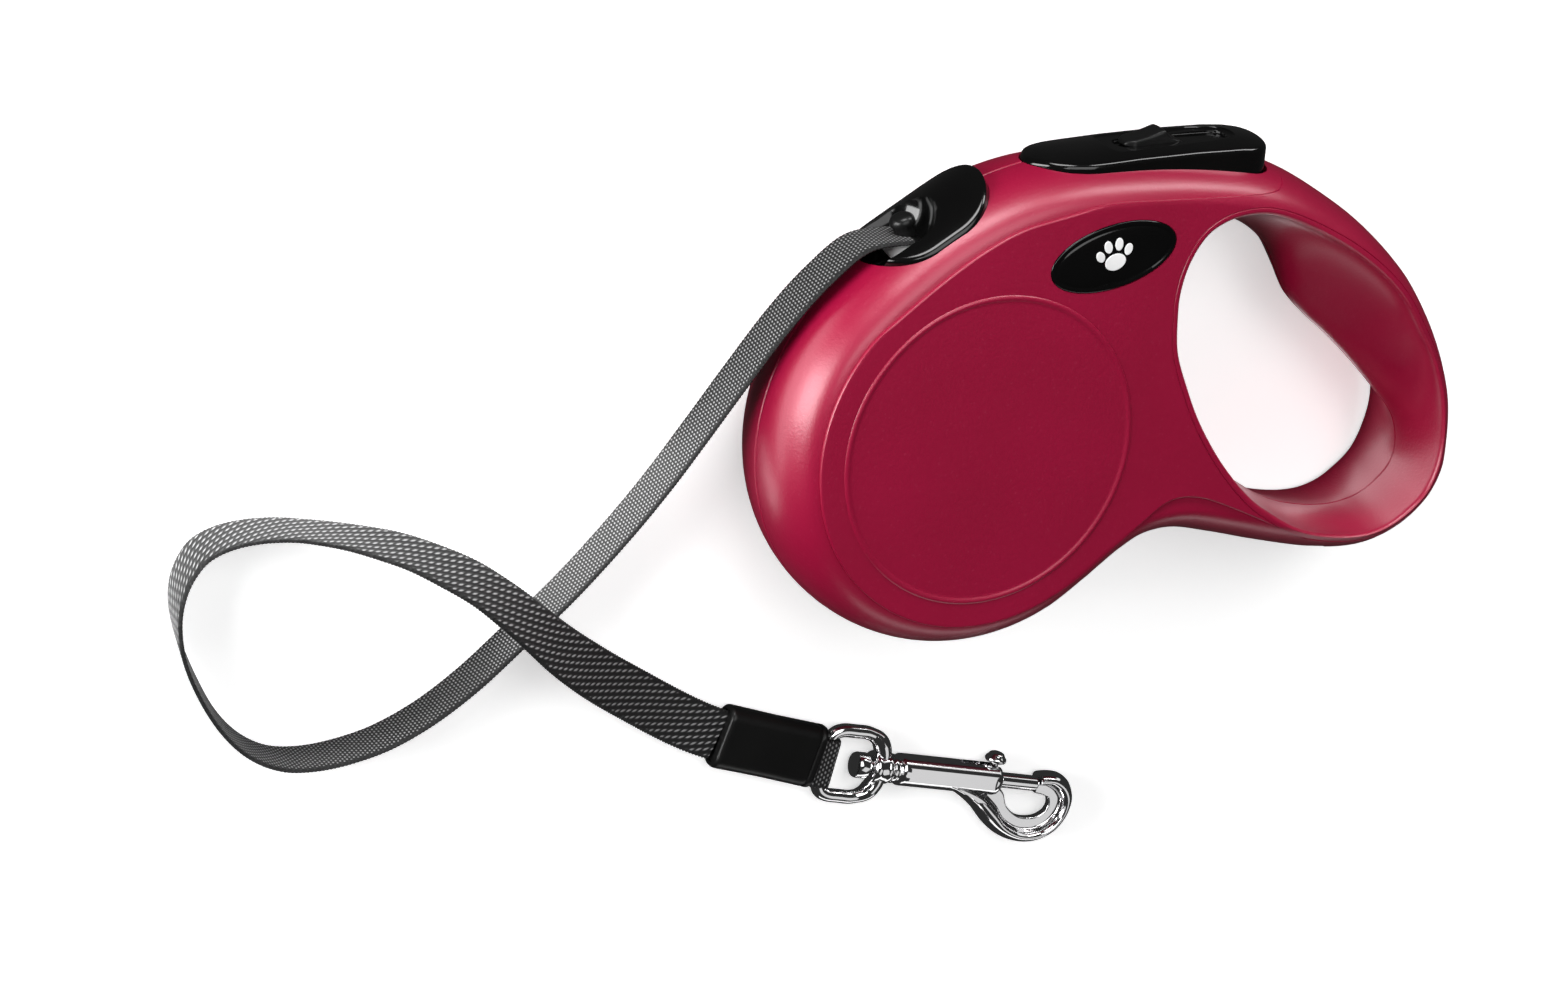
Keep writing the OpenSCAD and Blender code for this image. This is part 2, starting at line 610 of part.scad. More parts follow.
module hook_bolt() {
    color(chrome) at_hook() difference() {
        along(34) cylinder(r = bolt_radius, h = 25.5, $fn = 40);
        translate([46.8, -1, 0]) rotate([-90, 0, 0]) cylinder(r = 1, h = 4, $fn = 24);
    }
}
module bolt_knob() {
    color(chrome) at_hook() translate([46.8, 0, 0]) rotate([-90, 0, 0]) {
        translate([0, 0, -1]) cylinder(r = 1, h = 6, $fn = 24);
        translate([0, 0, 4.3]) cylinder(r = 2.5, h = 1, $fn = 40);
        translate([0, 0, 5.2]) cylinder(r = 1.9, h = 1.4, $fn = 40);
    }
}
module bolt_spring() {
    color(steel) at_hook() for (k = [0:6]) along(24.2 + k * 1.45)
        rotate_extrude($fn = 32) translate([1.25, 0]) circle(r = 0.28, $fn = 14);
}

left_casing();
right_casing();
casing_screws();
badge();
outlet_bezel();
guide_knob();
guide_roller();
roller_pin();
brake_button();
lock_slider();
brake_pawl();
button_pivot();
button_spring();
drum();
cup_cover();
ratchet_ring();
mainspring();
axle();
tape_winding();
tape_lead();
leash_tape();
tape_sleeve();
tape_eye_loop();
swivel_eye();
hook_body();
hook_bolt();
bolt_knob();
bolt_spring();
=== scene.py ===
import math

import bmesh
import bpy
from mathutils import Matrix, Vector


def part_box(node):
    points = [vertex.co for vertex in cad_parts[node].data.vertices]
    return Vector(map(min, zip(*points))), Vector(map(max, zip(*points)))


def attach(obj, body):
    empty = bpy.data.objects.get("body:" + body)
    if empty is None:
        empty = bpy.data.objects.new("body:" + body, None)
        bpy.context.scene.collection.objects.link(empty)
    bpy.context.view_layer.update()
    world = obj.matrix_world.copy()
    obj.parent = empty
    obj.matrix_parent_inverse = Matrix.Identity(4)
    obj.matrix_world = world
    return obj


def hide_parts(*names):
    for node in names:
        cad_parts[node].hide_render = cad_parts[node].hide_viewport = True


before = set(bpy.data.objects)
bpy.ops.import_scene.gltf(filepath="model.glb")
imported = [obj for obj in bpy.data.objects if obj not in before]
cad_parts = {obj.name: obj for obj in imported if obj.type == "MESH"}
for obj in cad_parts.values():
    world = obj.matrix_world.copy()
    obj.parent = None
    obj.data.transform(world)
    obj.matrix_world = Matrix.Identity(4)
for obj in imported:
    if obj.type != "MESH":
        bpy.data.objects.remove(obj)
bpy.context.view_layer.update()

MM = 0.001
MID = 17.0
TAU = 2 * math.pi


# ---------------------------------------------------------------- camera
def make_camera():
    data = bpy.data.cameras.new("camera")
    cam = bpy.data.objects.new("camera", data)
    bpy.context.scene.collection.objects.link(cam)
    right, up, back = (0.8887, 0.0834, 0.4508), (0.0834, 0.9374, -0.3380), (-0.4508, 0.3380, 0.8262)
    turn = Matrix((right, up, back)).transposed()
    cam.matrix_world = Matrix.Translation(Vector((-582.48, 392.72, 1008.0)) * MM) @ turn.to_4x4()
    data.lens = 127.47
    data.sensor_width = 36
    data.clip_start, data.clip_end = 0.05, 20
    bpy.context.scene.camera = cam


make_camera()


# ---------------------------------------------------------------- curves and meshes
def catmull(a, b, c, d, t):
    return tuple(0.5 * (2 * q + (r - p) * t + (2 * p - 5 * q + 4 * r - s) * t * t
                        + (3 * q - p - 3 * r + s) * t ** 3)
                 for p, q, r, s in zip(a, b, c, d))


def on_loop(points, s):
    """Point of the smooth closed curve at s, counted in control points."""
    n = len(points)
    i = math.floor(s)
    return catmull(points[(i - 1) % n], points[i % n], points[(i + 1) % n],
                   points[(i + 2) % n], s - i)


def on_line(points, s):
    """Point of the smooth open curve at s, counted in control points."""
    n = len(points) - 1
    i = min(int(s), n - 1)
    return catmull(points[max(i - 1, 0)], points[i], points[i + 1],
                   points[min(i + 2, n)], s - i)


def even_stops(at, last, count, closed=True):
    """Values of s that cut the curve into equal lengths."""
    fine = 24 * int(last)
    pts = [Vector(at(last * k / fine)) for k in range(fine + 1)]
    run = [0.0]
    for p, q in zip(pts, pts[1:]):
        run.append(run[-1] + (q - p).length)
    stops, k = [], 0
    for j in range(count if closed else count + 1):
        want = run[-1] * j / count
        while k < fine - 1 and run[k + 1] < want:
            k += 1
        stops.append(last * (k + (want - run[k]) / max(run[k + 1] - run[k], 1e-9)) / fine)
    return stops


def even_loop(points, count):
    stops = even_stops(lambda s: on_loop(points, s), len(points), count)
    return [Vector(on_loop(points, s)) for s in stops]


def normals(loop):
    """Outward directions of a counter-clockwise loop."""
    n = len(loop)
    out = []
    for i in range(n):
        d = loop[(i + 1) % n] - loop[i - 1]
        out.append(Vector((d.y, -d.x)).normalized())
    return out


def offset(loop, w):
    """The loop moved outwards by w, a number or one for each point."""
    ws = w if isinstance(w, (list, tuple)) else [w] * len(loop)
    return [p + q * k for p, q, k in zip(loop, normals(loop), ws)]


def lift(loop, z):
    zs = z if isinstance(z, (list, tuple)) else [z] * len(loop)
    return [(p[0], p[1], k) for p, k in zip(loop, zs)]


def add_object(name, verts, faces, move=None, smooth=True):
    mesh = bpy.data.meshes.new(name)
    pts = [Vector(v) for v in verts]
    if move is not None:
        pts = [move @ p for p in pts]
    mesh.from_pydata([p * MM for p in pts], [], faces)
    mesh.validate()
    bm = bmesh.new()
    bm.from_mesh(mesh)
    bmesh.ops.remove_doubles(bm, verts=bm.verts, dist=1e-7)
    bmesh.ops.recalc_face_normals(bm, faces=bm.faces)
    bm.to_mesh(mesh)
    bm.free()
    obj = bpy.data.objects.new(name, mesh)
    bpy.context.scene.collection.objects.link(obj)
    if smooth:
        mesh.shade_smooth()
    return obj


def loft(name, rings, move=None, closed=False):
    """Rings of equal count joined into a tube, with both ends closed by flat faces."""
    n = len(rings[0])
    verts = [v for ring in rings for v in ring]
    faces = []
    spans = len(rings) if closed else len(rings) - 1
    for k in range(spans):
        a, b = k * n, ((k + 1) % len(rings)) * n
        for i in range(n):
            j = (i + 1) % n
            faces.append((a + i, a + j, b + j, b + i))
    if not closed:
        faces.append(tuple(range(n - 1, -1, -1)))
        faces.append(tuple(range((len(rings) - 1) * n, len(rings) * n)))
    return add_object(name, verts, faces, move)


def lathe(name, profile, count=96, move=None):
    """Closed turned shape about +Z from (radius, z) pairs that start and end on the axis."""
    rings = []
    for r, z in profile:
        rings.append([(r * math.cos(TAU * i / count), r * math.sin(TAU * i / count), z)
                      for i in range(count)])
    return loft(name, rings, move)


def prism(name, loop, low, high, move=None):
    return loft(name, [lift(loop, low), lift(loop, high)], move)


def block(name, low, high, move=None):
    loop = [(low[0], low[1]), (high[0], low[1]), (high[0], high[1]), (low[0], high[1])]
    return prism(name, loop, low[2], high[2], move)


def sweep(name, path, section, closed=False, side=None):
    """A section of (across, up) pairs carried along a path of points."""
    n = len(path)
    rings = []
    for i, p in enumerate(path):
        p = Vector(p)
        ahead = Vector(path[(i + 1) % n] if closed or i < n - 1 else path[i])
        behind = Vector(path[i - 1] if closed or i else path[i])
        d = (ahead - behind).normalized()
        s = Vector(side) if side else Vector((0, 0, 1)).cross(d).normalized()
        s = (s - d * s.dot(d)).normalized()
        u = d.cross(s)
        rings.append([tuple(p + s * a + u * b) for a, b in section])
    return loft(name, rings, closed=closed)


def round_section(r, count):
    return [(r * math.cos(TAU * k / count), r * math.sin(TAU * k / count)) for k in range(count)]


def combine(base, other, how):
    """Boolean of base with other, which is used up."""
    others = other if isinstance(other, (list, tuple)) else [other]
    for o in others:
        mod = base.modifiers.new("cut", "BOOLEAN")
        mod.operation = how
        mod.object = o
        mod.solver = "MANIFOLD"
        apply_all(base)
        bpy.data.objects.remove(o, do_unlink=True)
    return base


def apply_all(obj):
    dg = bpy.context.evaluated_depsgraph_get()
    mesh = bpy.data.meshes.new_from_object(obj.evaluated_get(dg))
    obj.modifiers.clear()
    old = obj.data
    obj.data = mesh
    bpy.data.meshes.remove(old)


def carry(obj, frame_at):
    """Moves a mesh, already in metres, by a frame in millimetres."""
    obj.data.transform(Matrix.Translation(frame_at.translation * MM)
                       @ frame_at.to_3x3().to_4x4())


WELD = 0.004 * MM


def tidy(obj, angle):
    """Welds slivers, marks real edges and lets flat faces keep flat shading."""
    bm = bmesh.new()
    bm.from_mesh(obj.data)
    bmesh.ops.remove_doubles(bm, verts=bm.verts, dist=WELD)
    bmesh.ops.dissolve_degenerate(bm, edges=bm.edges, dist=WELD)
    bm.to_mesh(obj.data)
    bm.free()
    obj.data.shade_smooth()
    obj.data.set_sharp_from_angle(angle=math.radians(angle))
    mod = obj.modifiers.new("normals", "WEIGHTED_NORMAL")
    mod.keep_sharp = True
    mod.weight = 60
    apply_all(obj)
    return obj


def place(obj, body, material, replaced=()):
    obj.data.name = obj.name
    obj.data.materials.clear()
    obj.data.materials.append(material)
    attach(obj, body)
    if replaced:
        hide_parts(*replaced)
    return obj


# ---------------------------------------------------------------- materials
def shader(name, **values):
    mat = bpy.data.materials.new(name)
    mat.use_nodes = True
    tree = mat.node_tree
    bsdf = tree.nodes["Principled BSDF"]
    for key, value in values.items():
        bsdf.inputs[key.replace("_", " ")].default_value = value
    return mat, tree, bsdf


def node(tree, kind, **values):
    made = tree.nodes.new(kind)
    for key, value in values.items():
        if key in made.inputs:
            made.inputs[key].default_value = value
        else:
            setattr(made, key, value)
    return made


def coords(tree, kind="Object"):
    return tree.nodes.new("ShaderNodeTexCoord").outputs[kind]


def noise(tree, where, scale, detail=3.0, rough=0.5):
    made = node(tree, "ShaderNodeTexNoise", Scale=scale, Detail=detail, Roughness=rough)
    tree.links.new(where, made.inputs["Vector"])
    return made.outputs["Fac"]


def ramp(tree, value, stops):
    made = tree.nodes.new("ShaderNodeValToRGB")
    made.color_ramp.elements[0].position = stops[0][0]
    made.color_ramp.elements[0].color = stops[0][1]
    made.color_ramp.elements[1].position = stops[-1][0]
    made.color_ramp.elements[1].color = stops[-1][1]
    for pos, colour in stops[1:-1]:
        made.color_ramp.elements.new(pos).color = colour
    tree.links.new(value, made.inputs["Fac"])
    return made.outputs["Color"]


def remap(tree, value, low, high, a=0.0, b=1.0):
    made = node(tree, "ShaderNodeMapRange")
    made.inputs["From Min"].default_value = a
    made.inputs["From Max"].default_value = b
    made.inputs["To Min"].default_value = low
    made.inputs["To Max"].default_value = high
    tree.links.new(value, made.inputs["Value"])
    return made.outputs["Result"]


def bump(tree, bsdf, layers):
    """Bump from (height, strength, distance) layers, each on top of the last."""
    last = None
    for height, strength, distance in layers:
        made = node(tree, "ShaderNodeBump", Strength=strength, Distance=distance)
        tree.links.new(height, made.inputs["Height"])
        if last is not None:
            tree.links.new(last, made.inputs["Normal"])
        last = made.outputs["Normal"]
    tree.links.new(last, bsdf.inputs["Normal"])


def maths(tree, kind, a, b=None, c=None):
    made = node(tree, "ShaderNodeMath", operation=kind)
    for k, v in enumerate((a, b, c)):
        if v is None:
            continue
        if isinstance(v, (int, float)):
            made.inputs[k].default_value = v
        else:
            tree.links.new(v, made.inputs[k])
    return made.outputs[0]


def ripple(tree, value):
    """0 at whole numbers, 1 half way between them."""
    wave = maths(tree, "SINE", maths(tree, "MULTIPLY", value, math.pi))
    return maths(tree, "ABSOLUTE", wave)


def grey(v):
    return (v, v, v, 1)


def body_plastic():
    """Moulded crimson with fine bright grains under a satin skin."""
    mat, tree, bsdf = shader("crimson_plastic", Metallic=0.08, IOR=1.5, Coat_Weight=0.65,
                             Coat_Roughness=0.3, Coat_Tint=(1.0, 0.9, 0.92, 1))
    where = coords(tree)
    grain = node(tree, "ShaderNodeTexVoronoi", Scale=2600.0)
    tree.links.new(where, grain.inputs["Vector"])
    cloud = noise(tree, where, 38, 4)
    tint = ramp(tree, cloud, [(0.3, (0.30, 0.0002, 0.033, 1)), (0.7, (0.33, 0.0003, 0.038, 1))])
    speck = ramp(tree, grain.outputs["Color"], [(0.86, grey(0)), (0.97, grey(1))])
    mix = node(tree, "ShaderNodeMix", data_type="RGBA", blend_type="MIX")
    tree.links.new(remap(tree, speck, 0.0, 0.05), mix.inputs[0])
    tree.links.new(tint, mix.inputs[6])
    mix.inputs[7].default_value = (0.85, 0.22, 0.35, 1)
    tree.links.new(mix.outputs[2], bsdf.inputs["Base Color"])
    fine = noise(tree, where, 1500, 2)
    tree.links.new(remap(tree, fine, 0.36, 0.48), bsdf.inputs["Roughness"])
    bump(tree, bsdf, [(fine, 0.5, 0.00012), (cloud, 0.02, 0.001)])
    return mat


def black_plastic(name, value, rough, coat, grain=900, strength=0.05):
    mat, tree, bsdf = shader(name, IOR=1.48, Specular_IOR_Level=0.3, Coat_Weight=coat,
                             Coat_Roughness=0.08, Coat_IOR=1.35)
    where = coords(tree)
    cloud = noise(tree, where, 60, 3)
    fine = noise(tree, where, grain, 3)
    tree.links.new(ramp(tree, cloud, [(0.3, grey(value * 0.85)), (0.7, grey(value * 1.2))]),
                   bsdf.inputs["Base Color"])
    tree.links.new(remap(tree, fine, rough * 0.85, rough * 1.2), bsdf.inputs["Roughness"])
    bump(tree, bsdf, [(fine, strength, 0.0001)])
    return mat


def metal(name, value, rough, spread=0.04, scale=240, strength=0.02):
    mat, tree, bsdf = shader(name, Metallic=1.0)
    where = coords(tree)
    cloud = noise(tree, where, scale, 4)
    wide = noise(tree, where, 45, 2)
    tree.links.new(ramp(tree, wide, [(0.3, (value, value, value * 1.01, 1)),
                                     (0.7, (value * 1.05, value * 1.04, value * 1.05, 1))]),
                   bsdf.inputs["Base Color"])
    tree.links.new(remap(tree, cloud, rough, rough + spread), bsdf.inputs["Roughness"])
    bump(tree, bsdf, [(wide, strength, 0.0006)])
    return mat


def turned_metal(name, value, rough):
    """Fine lines left by turning or rolling, round the piece's axis."""
    mat, tree, bsdf = shader(name, Metallic=1.0)
    where = coords(tree)
    stretch = node(tree, "ShaderNodeMapping")
    stretch.inputs["Scale"].default_value = (0.15, 0.15, 6)
    tree.links.new(where, stretch.inputs["Vector"])
    lines = noise(tree, stretch.outputs["Vector"], 900, 4)
    tree.links.new(ramp(tree, lines, [(0.3, grey(value * 0.85)), (0.7, grey(value * 1.1))]),
                   bsdf.inputs["Base Color"])
    tree.links.new(remap(tree, lines, rough, rough + 0.15), bsdf.inputs["Roughness"])
    bump(tree, bsdf, [(lines, 0.12, 0.0001)])
    return mat


BACK_U = 20.0  # added to u on the back of a tape
TAPE_MIDDLE = 6.0
# millimetres: a plain weave's cell, a twill's row and float, and the fall of its rows
CELL_WIDE, CELL_LONG = 1.2, 0.8
TWILL_ROW, TWILL_FLOAT, TWILL_FALL, TWILL_LEAN = 1.6, 1.3, 0.225, 0.55


def woven_tape():
    """Black webbing. u is millimetres across, v is millimetres along."""
    mat, tree, bsdf = shader("woven_tape", IOR=1.5, Sheen_Weight=0.08, Sheen_Roughness=0.4)
    uv = coords(tree, "UV")
    split = node(tree, "ShaderNodeSeparateXYZ")
    tree.links.new(uv, split.inputs[0])
    u, v = split.outputs["X"], split.outputs["Y"]
    # back: plain weave, one bright crown in every cell, rows set off by half a cell
    row = maths(tree, "FLOOR", maths(tree, "DIVIDE", v, CELL_LONG))
    half = maths(tree, "MULTIPLY", maths(tree, "MODULO", row, 2.0), 0.5)
    a = ripple(tree, maths(tree, "ADD", maths(tree, "DIVIDE", u, CELL_WIDE), half))
    b = ripple(tree, maths(tree, "DIVIDE", v, CELL_LONG))
    plain = maths(tree, "MULTIPLY", a, b)
    # front: twill rows that run at a slant, each made of short leaning floats
    rows = maths(tree, "ADD", maths(tree, "DIVIDE", u, TWILL_ROW),
                 maths(tree, "MULTIPLY", v, TWILL_FALL))
    lean = maths(tree, "ADD", maths(tree, "DIVIDE", v, TWILL_FLOAT),
                 maths(tree, "MULTIPLY", u, TWILL_LEAN))
    floats = maths(tree, "MULTIPLY", maths(tree, "POWER", ripple(tree, rows), 1.6),
                   maths(tree, "POWER", ripple(tree, lean), 0.8))
    back = maths(tree, "GREATER_THAN", u, BACK_U - 4.0)
    pick = node(tree, "ShaderNodeMix", data_type="FLOAT")
    tree.links.new(back, pick.inputs[0])
    tree.links.new(floats, pick.inputs[2])
    tree.links.new(plain, pick.inputs[3])
    weave = pick.outputs[0]
    fuzz = noise(tree, coords(tree), 2400, 2)
    # the selvedges are plain black
    mid = maths(tree, "ABSOLUTE", maths(tree, "SUBTRACT", maths(tree, "MODULO", u, BACK_U),
                                          TAPE_MIDDLE))
    edge = remap(tree, mid, 1.0, 0.45, 5.1, 5.4)
    crown = maths(tree, "MULTIPLY", maths(tree, "MULTIPLY", weave, edge),
                  remap(tree, fuzz, 0.8, 1.15))
    tree.links.new(ramp(tree, crown, [(0.38, (0.0012, 0.0012, 0.0014, 1)),
                                      (0.62, (0.045, 0.045, 0.046, 1)),
                                      (0.9, (0.340, 0.340, 0.344, 1))]),
                   bsdf.inputs["Base Color"])
    tree.links.new(remap(tree, crown, 0.75, 0.42), bsdf.inputs["Roughness"])
    bump(tree, bsdf, [(weave, 0.7, 0.00022), (fuzz, 0.2, 0.00008)])
    return mat


CRIMSON = body_plastic()
GLOSS = black_plastic("gloss_black", 0.0025, 0.13, 0.6)
SATIN = black_plastic("satin_black", 0.006, 0.32, 0.1, 1400, 0.12)
SLEEVE = black_plastic("sleeve_black", 0.006, 0.36, 0.1, 1100, 0.16)
NYLON = black_plastic("white_nylon", 0.62, 0.45, 0.0, 1200, 0.1)
CHROME = metal("polished_chrome", 0.80, 0.07, 0.04, 240, 0.004)
STEEL = turned_metal("turned_steel", 0.55, 0.28)
TAPE = woven_tape()
MARK = black_plastic("pale_print", 0.85, 0.35, 0.3, 1200, 0.03)

# ---------------------------------------------------------------- free tape (the cord)
TAPE_WIDTH, TAPE_THICK = 12.0, 1.0
MOUTH = (-17, 45.1)
HOOK_Z = 3.9
SLEEVE_END, SLEEVE_TURN, SLEEVE_LONG = (-19.6, -81.9), math.radians(-17.5), 26.4
SLEEVE_START = (SLEEVE_END[0] - SLEEVE_LONG * math.cos(SLEEVE_TURN),
                SLEEVE_END[1] - SLEEVE_LONG * math.sin(SLEEVE_TURN))
# x, y, z and the lean of the tape's width from upright, in degrees
TAPE_PTS = [
    (MOUTH[0], MOUTH[1], 17, 0), (-28, 44.1, 17, 0), (-37, 37, 16.6, 0), (-44.5, 27.6, 15.2, 0),
    (-52, 15.6, 13.2, 0), (-60, 2.2, 11, 0), (-67.5, -10, 9, 0), (-76, -21.5, 7.6, 0),
    (-87, -34, 6.6, 0), (-99, -45, 6.3, 0), (-108, -52.8, 6.3, 0), (-117.5, -59.4, 6.3, 0),
    (-127.5, -64.2, 6.3, 1), (-137, -66.6, 6.3, 2), (-145.5, -67.3, 6.3, 3),
    (-153, -66.2, 6.3, 5), (-160, -62.4, 6.3, 8), (-166, -56.2, 6.3, 11), (-171, -48, 6.3, 14),
    (-174.8, -39.4, 6.3, 14), (-176.6, -31.6, 6.3, 10), (-176.4, -25.5, 6.3, 6),
    (-174.6, -20.6, 6.3, 3), (-171.6, -17, 6.3, 0), (-166.6, -14.8, 6.4, -2),
    (-160.4, -13.9, 6.6, -3), (-153.5, -14, 7, -4), (-147, -14.9, 7.6, -6),
    (-140.4, -16.1, 8.7, -10), (-134, -17.6, 10.2, -16), (-127.6, -19.4, 12, -23),
    (-121, -22.2, 13.8, -31), (-112.6, -26.6, 15.8, -40), (-104.8, -32.4, 16.8, -48),
    (-98, -38.2, 16.6, -54), (-91.6, -43.8, 15.2, -60), (-85, -49, 13, -66),
    (-77.6, -54.4, 10.2, -72), (-68.6, -60.4, 7.4, -78), (-58.6, -66.8, 5, -84),
    (-51, -71.1, 4.1, -88), (SLEEVE_START[0], SLEEVE_START[1], HOOK_Z, -90)]


def tape_strip(name, rings, width, thick, start=0.0):
    """A flat strip from (centre, across, through) rings, with saw-edged selvedges and UVs."""
    w, t = width / 2, thick / 2
    cells = 14
    top = [(-w + 0.25 + (2 * w - 0.5) * k / cells, t) for k in range(cells + 1)]
    section = top + [(w, 0.0)] + [(a, -b) for a, b in reversed(top)] + [(-w, 0.0)]
    count = len(section)
    front = [a + w for a, b in top]
    us = front + [2 * w] + [u + BACK_U for u in reversed(front)] + [BACK_U]
    verts, along = [], [start]
    for i, (centre, across, through) in enumerate(rings):
        if i:
            along.append(along[-1] + (centre - rings[i - 1][0]).length)
        tooth = 0.13 if i % 2 else -0.10
        for a, b in section:
            edge = abs(a) > w - 0.3
            grow = (w + tooth) / w if edge else 1.0
            verts.append(tuple(centre + across * a * grow + through * b * (0.75 if edge else 1)))
    faces, uvs = [], []
    for i in range(len(rings) - 1):
        for k in range(count):
            m = (k + 1) % count
            a, b = i * count, (i + 1) * count
            faces.append((a + k, a + m, b + m, b + k))
            ua, ub = us[k], us[m]
            if k == cells + 1:
                ua, ub = BACK_U + 2 * w, us[m]
            if k == count - 1:
                ua, ub = BACK_U, BACK_U + 0.1
            uvs.append([(ua, along[i]), (ub, along[i]), (ub, along[i + 1]), (ua, along[i + 1])])
    faces.append(tuple(range(count - 1, -1, -1)))
    uvs.append([(TAPE_MIDDLE, along[0])] * count)
    faces.append(tuple(range((len(rings) - 1) * count, len(rings) * count)))
    uvs.append([(TAPE_MIDDLE, along[-1])] * count)
    mesh = bpy.data.meshes.new(name)
    mesh.from_pydata([Vector(v) * MM for v in verts], [], faces)
    layer = mesh.uv_layers.new(name="UVMap")
    for poly, corners in zip(mesh.polygons, uvs):
        for loop, uv in zip(poly.loop_indices, corners):
            layer.data[loop].uv = uv
    mesh.shade_smooth()
    mesh.set_sharp_from_angle(angle=math.radians(50))
    obj = bpy.data.objects.new(name, mesh)
    bpy.context.scene.collection.objects.link(obj)
    return obj


def free_tape():
    at = lambda s: on_line(TAPE_PTS, s)
    last = len(TAPE_PTS) - 1
    stops = even_stops(lambda s: at(s)[:3], last, 900, closed=False)
    pts = [at(s) for s in stops]
    rings, path = [], []
    for i, p in enumerate(pts):
        c = Vector(p[:3])
        a, b = Vector(pts[max(i - 1, 0)][:3]), Vector(pts[min(i + 1, len(pts) - 1)][:3])
        d = (b - a).normalized()
        side = Vector((-d.y, d.x, 0)).normalized()
        up = d.cross(side)
        lean = math.radians(p[3])
        wide = up * math.cos(lean) + side * math.sin(lean)
        rings.append((c, wide, wide.cross(d)))
        path.append(c * MM)
    obj = tape_strip("leash_tape_woven", rings, TAPE_WIDTH, TAPE_THICK)
    length = sum((q - p).length for p, q in zip(path, path[1:]))
    return obj, path, length


tape, tape_path, tape_length = free_tape()

# ---------------------------------------------------------------- the two casing halves
TOP_PTS = [(126, -10), (125, 1), (121.5, 11.5), (116, 22), (108.5, 32.3), (98, 42), (87, 49.5),
           (76, 55.5), (65, 59), (50, 61), (35, 61.7), (20, 61.3), (8, 59.5), (-4, 55.6),
           (-15, 49.7), (-24, 43.3)]
LOW_PTS = [(35.5, -34), (40.5, -30.3), (46, -27.5), (54, -26.8), (65, -29), (78, -32.2),
           (92, -35), (104, -35.2), (114, -31.5), (121.5, -25), (125.3, -17.5)]
REEL_ROUND, LINE_ROUND = 48.7, 41.2


def arc(r, first, last, step=13):
    """Points of an arc about the reel's axis, in degrees."""
    return [(r * math.cos(math.radians(a)), r * math.sin(math.radians(a)))
            for a in range(first, last, step)]


OUTLINE_PTS = TOP_PTS + arc(REEL_ROUND, 129, 312) + LOW_PTS
RIM_PTS = [(119.7, -9.7), (118.5, 1.5), (115, 11), (110, 19), (105, 26.3), (98.8, 32.4),
           (90, 38.7), (81.5, 43.4), (73, 47.2), (66, 49.3), (60, 49.5), (54.5, 48.2),
           (50, 45.2), (46.6, 39.5), (45, 33), (45, 27), (46, 19), (49.3, 10.8), (54, 1.6),
           (61, -8.4), (69, -16.9), (76, -21.9), (83, -25.8), (90, -28), (98.4, -29),
           (105, -28.3), (111, -25.4), (117, -19.4)]
WAIST_PTS = [(117.8, -13), (115.5, -6.2), (109.5, 0.5), (102, 8), (95, 14.3), (88.5, 19.5),
             (82.5, 25.3), (79, 31.5), (75, 38), (68, 43), (61, 44.9), (55.5, 44),
             (51.3, 41.8), (48.4, 37.3), (46.9, 32), (46.6, 26.5), (47.7, 19.2), (51, 11.5),
             (55.6, 2.7), (62.3, -7.2), (70.1, -15.5), (76.8, -20.3), (83.6, -24), (90.3, -26.1),
             (98.3, -27.2), (104.8, -26.8), (110.8, -24.6), (116.6, -19.2)]
# the line that parts the face from the shoulder: top side right to left, then the reel
LINE_PTS = [(73.5, 60), (73.2, 57.5), (71.6, 55.3), (68.5, 54.2), (64, 54), (52, 54.2),
            (38, 54.5), (25, 54.5), (13, 52.3), (3, 50), (-6, 45.8), (-15.5, 39.6),
            (-24.6, 32.6)] + arc(LINE_ROUND, 139, 300) + [
    (27.5, -31.6), (34.5, -25.9), (41.5, -20.4), (46.3, -16.8), (51, -15.5), (57, -16.3),
    (65, -19.4), (74, -23.4), (84, -28), (94, -33), (104, -39)]
FLANK, FACE_Z, PANEL_Z, DISC_Z = 8.5, 16.0, 16.7, 17.0
OUTLINE = even_loop(OUTLINE_PTS, 560)


def crown(h, top):
    return FLANK * (1 - math.sqrt(max(0.0, 1 - (h / top) ** 2)))


def crowned(name, top):
    """Half of the case's outer form, from the joint up, with a small groove at the joint."""
    levels = [0.4, 1.2, 2.2, 3.4, 4.6, 5.8, 7, 8.2, 9.3, 10.3, 11.2, 12.1, 12.9, 13.6, 14.2,
              14.75, 15.2, 15.55, 15.8]
    rings = [lift(offset(OUTLINE, -0.28), 0.0), lift(offset(OUTLINE, -0.06), 0.25)]
    rings += [lift(offset(OUTLINE, -crown(h * top / 16, top)), h * top / 16) for h in levels]
    rings.append(lift(offset(OUTLINE, -FLANK + 0.25), top - 0.01))
    return loft(name, rings)


def depth_in(p):
    return min((q - p).length for q in OUTLINE)


def surface_z(p, top=PANEL_Z):
    d = min(depth_in(p), FLANK)
    return top * math.sqrt(max(0.0, 1 - (1 - d / FLANK) ** 2))


HOLE_STOPS = even_stops(lambda s: on_loop(RIM_PTS, s), len(RIM_PTS), 420)
RIM = [Vector(on_loop(RIM_PTS, s)) for s in HOLE_STOPS]
WAIST = [Vector(on_loop(WAIST_PTS, s)) for s in HOLE_STOPS]
RIM_Z = [surface_z(p) for p in RIM]
# evened out along the rim
for _ in range(6):
    RIM_Z = [(RIM_Z[i - 1] + 2 * RIM_Z[i] + RIM_Z[(i + 1) % len(RIM_Z)]) / 4
             for i in range(len(RIM_Z))]


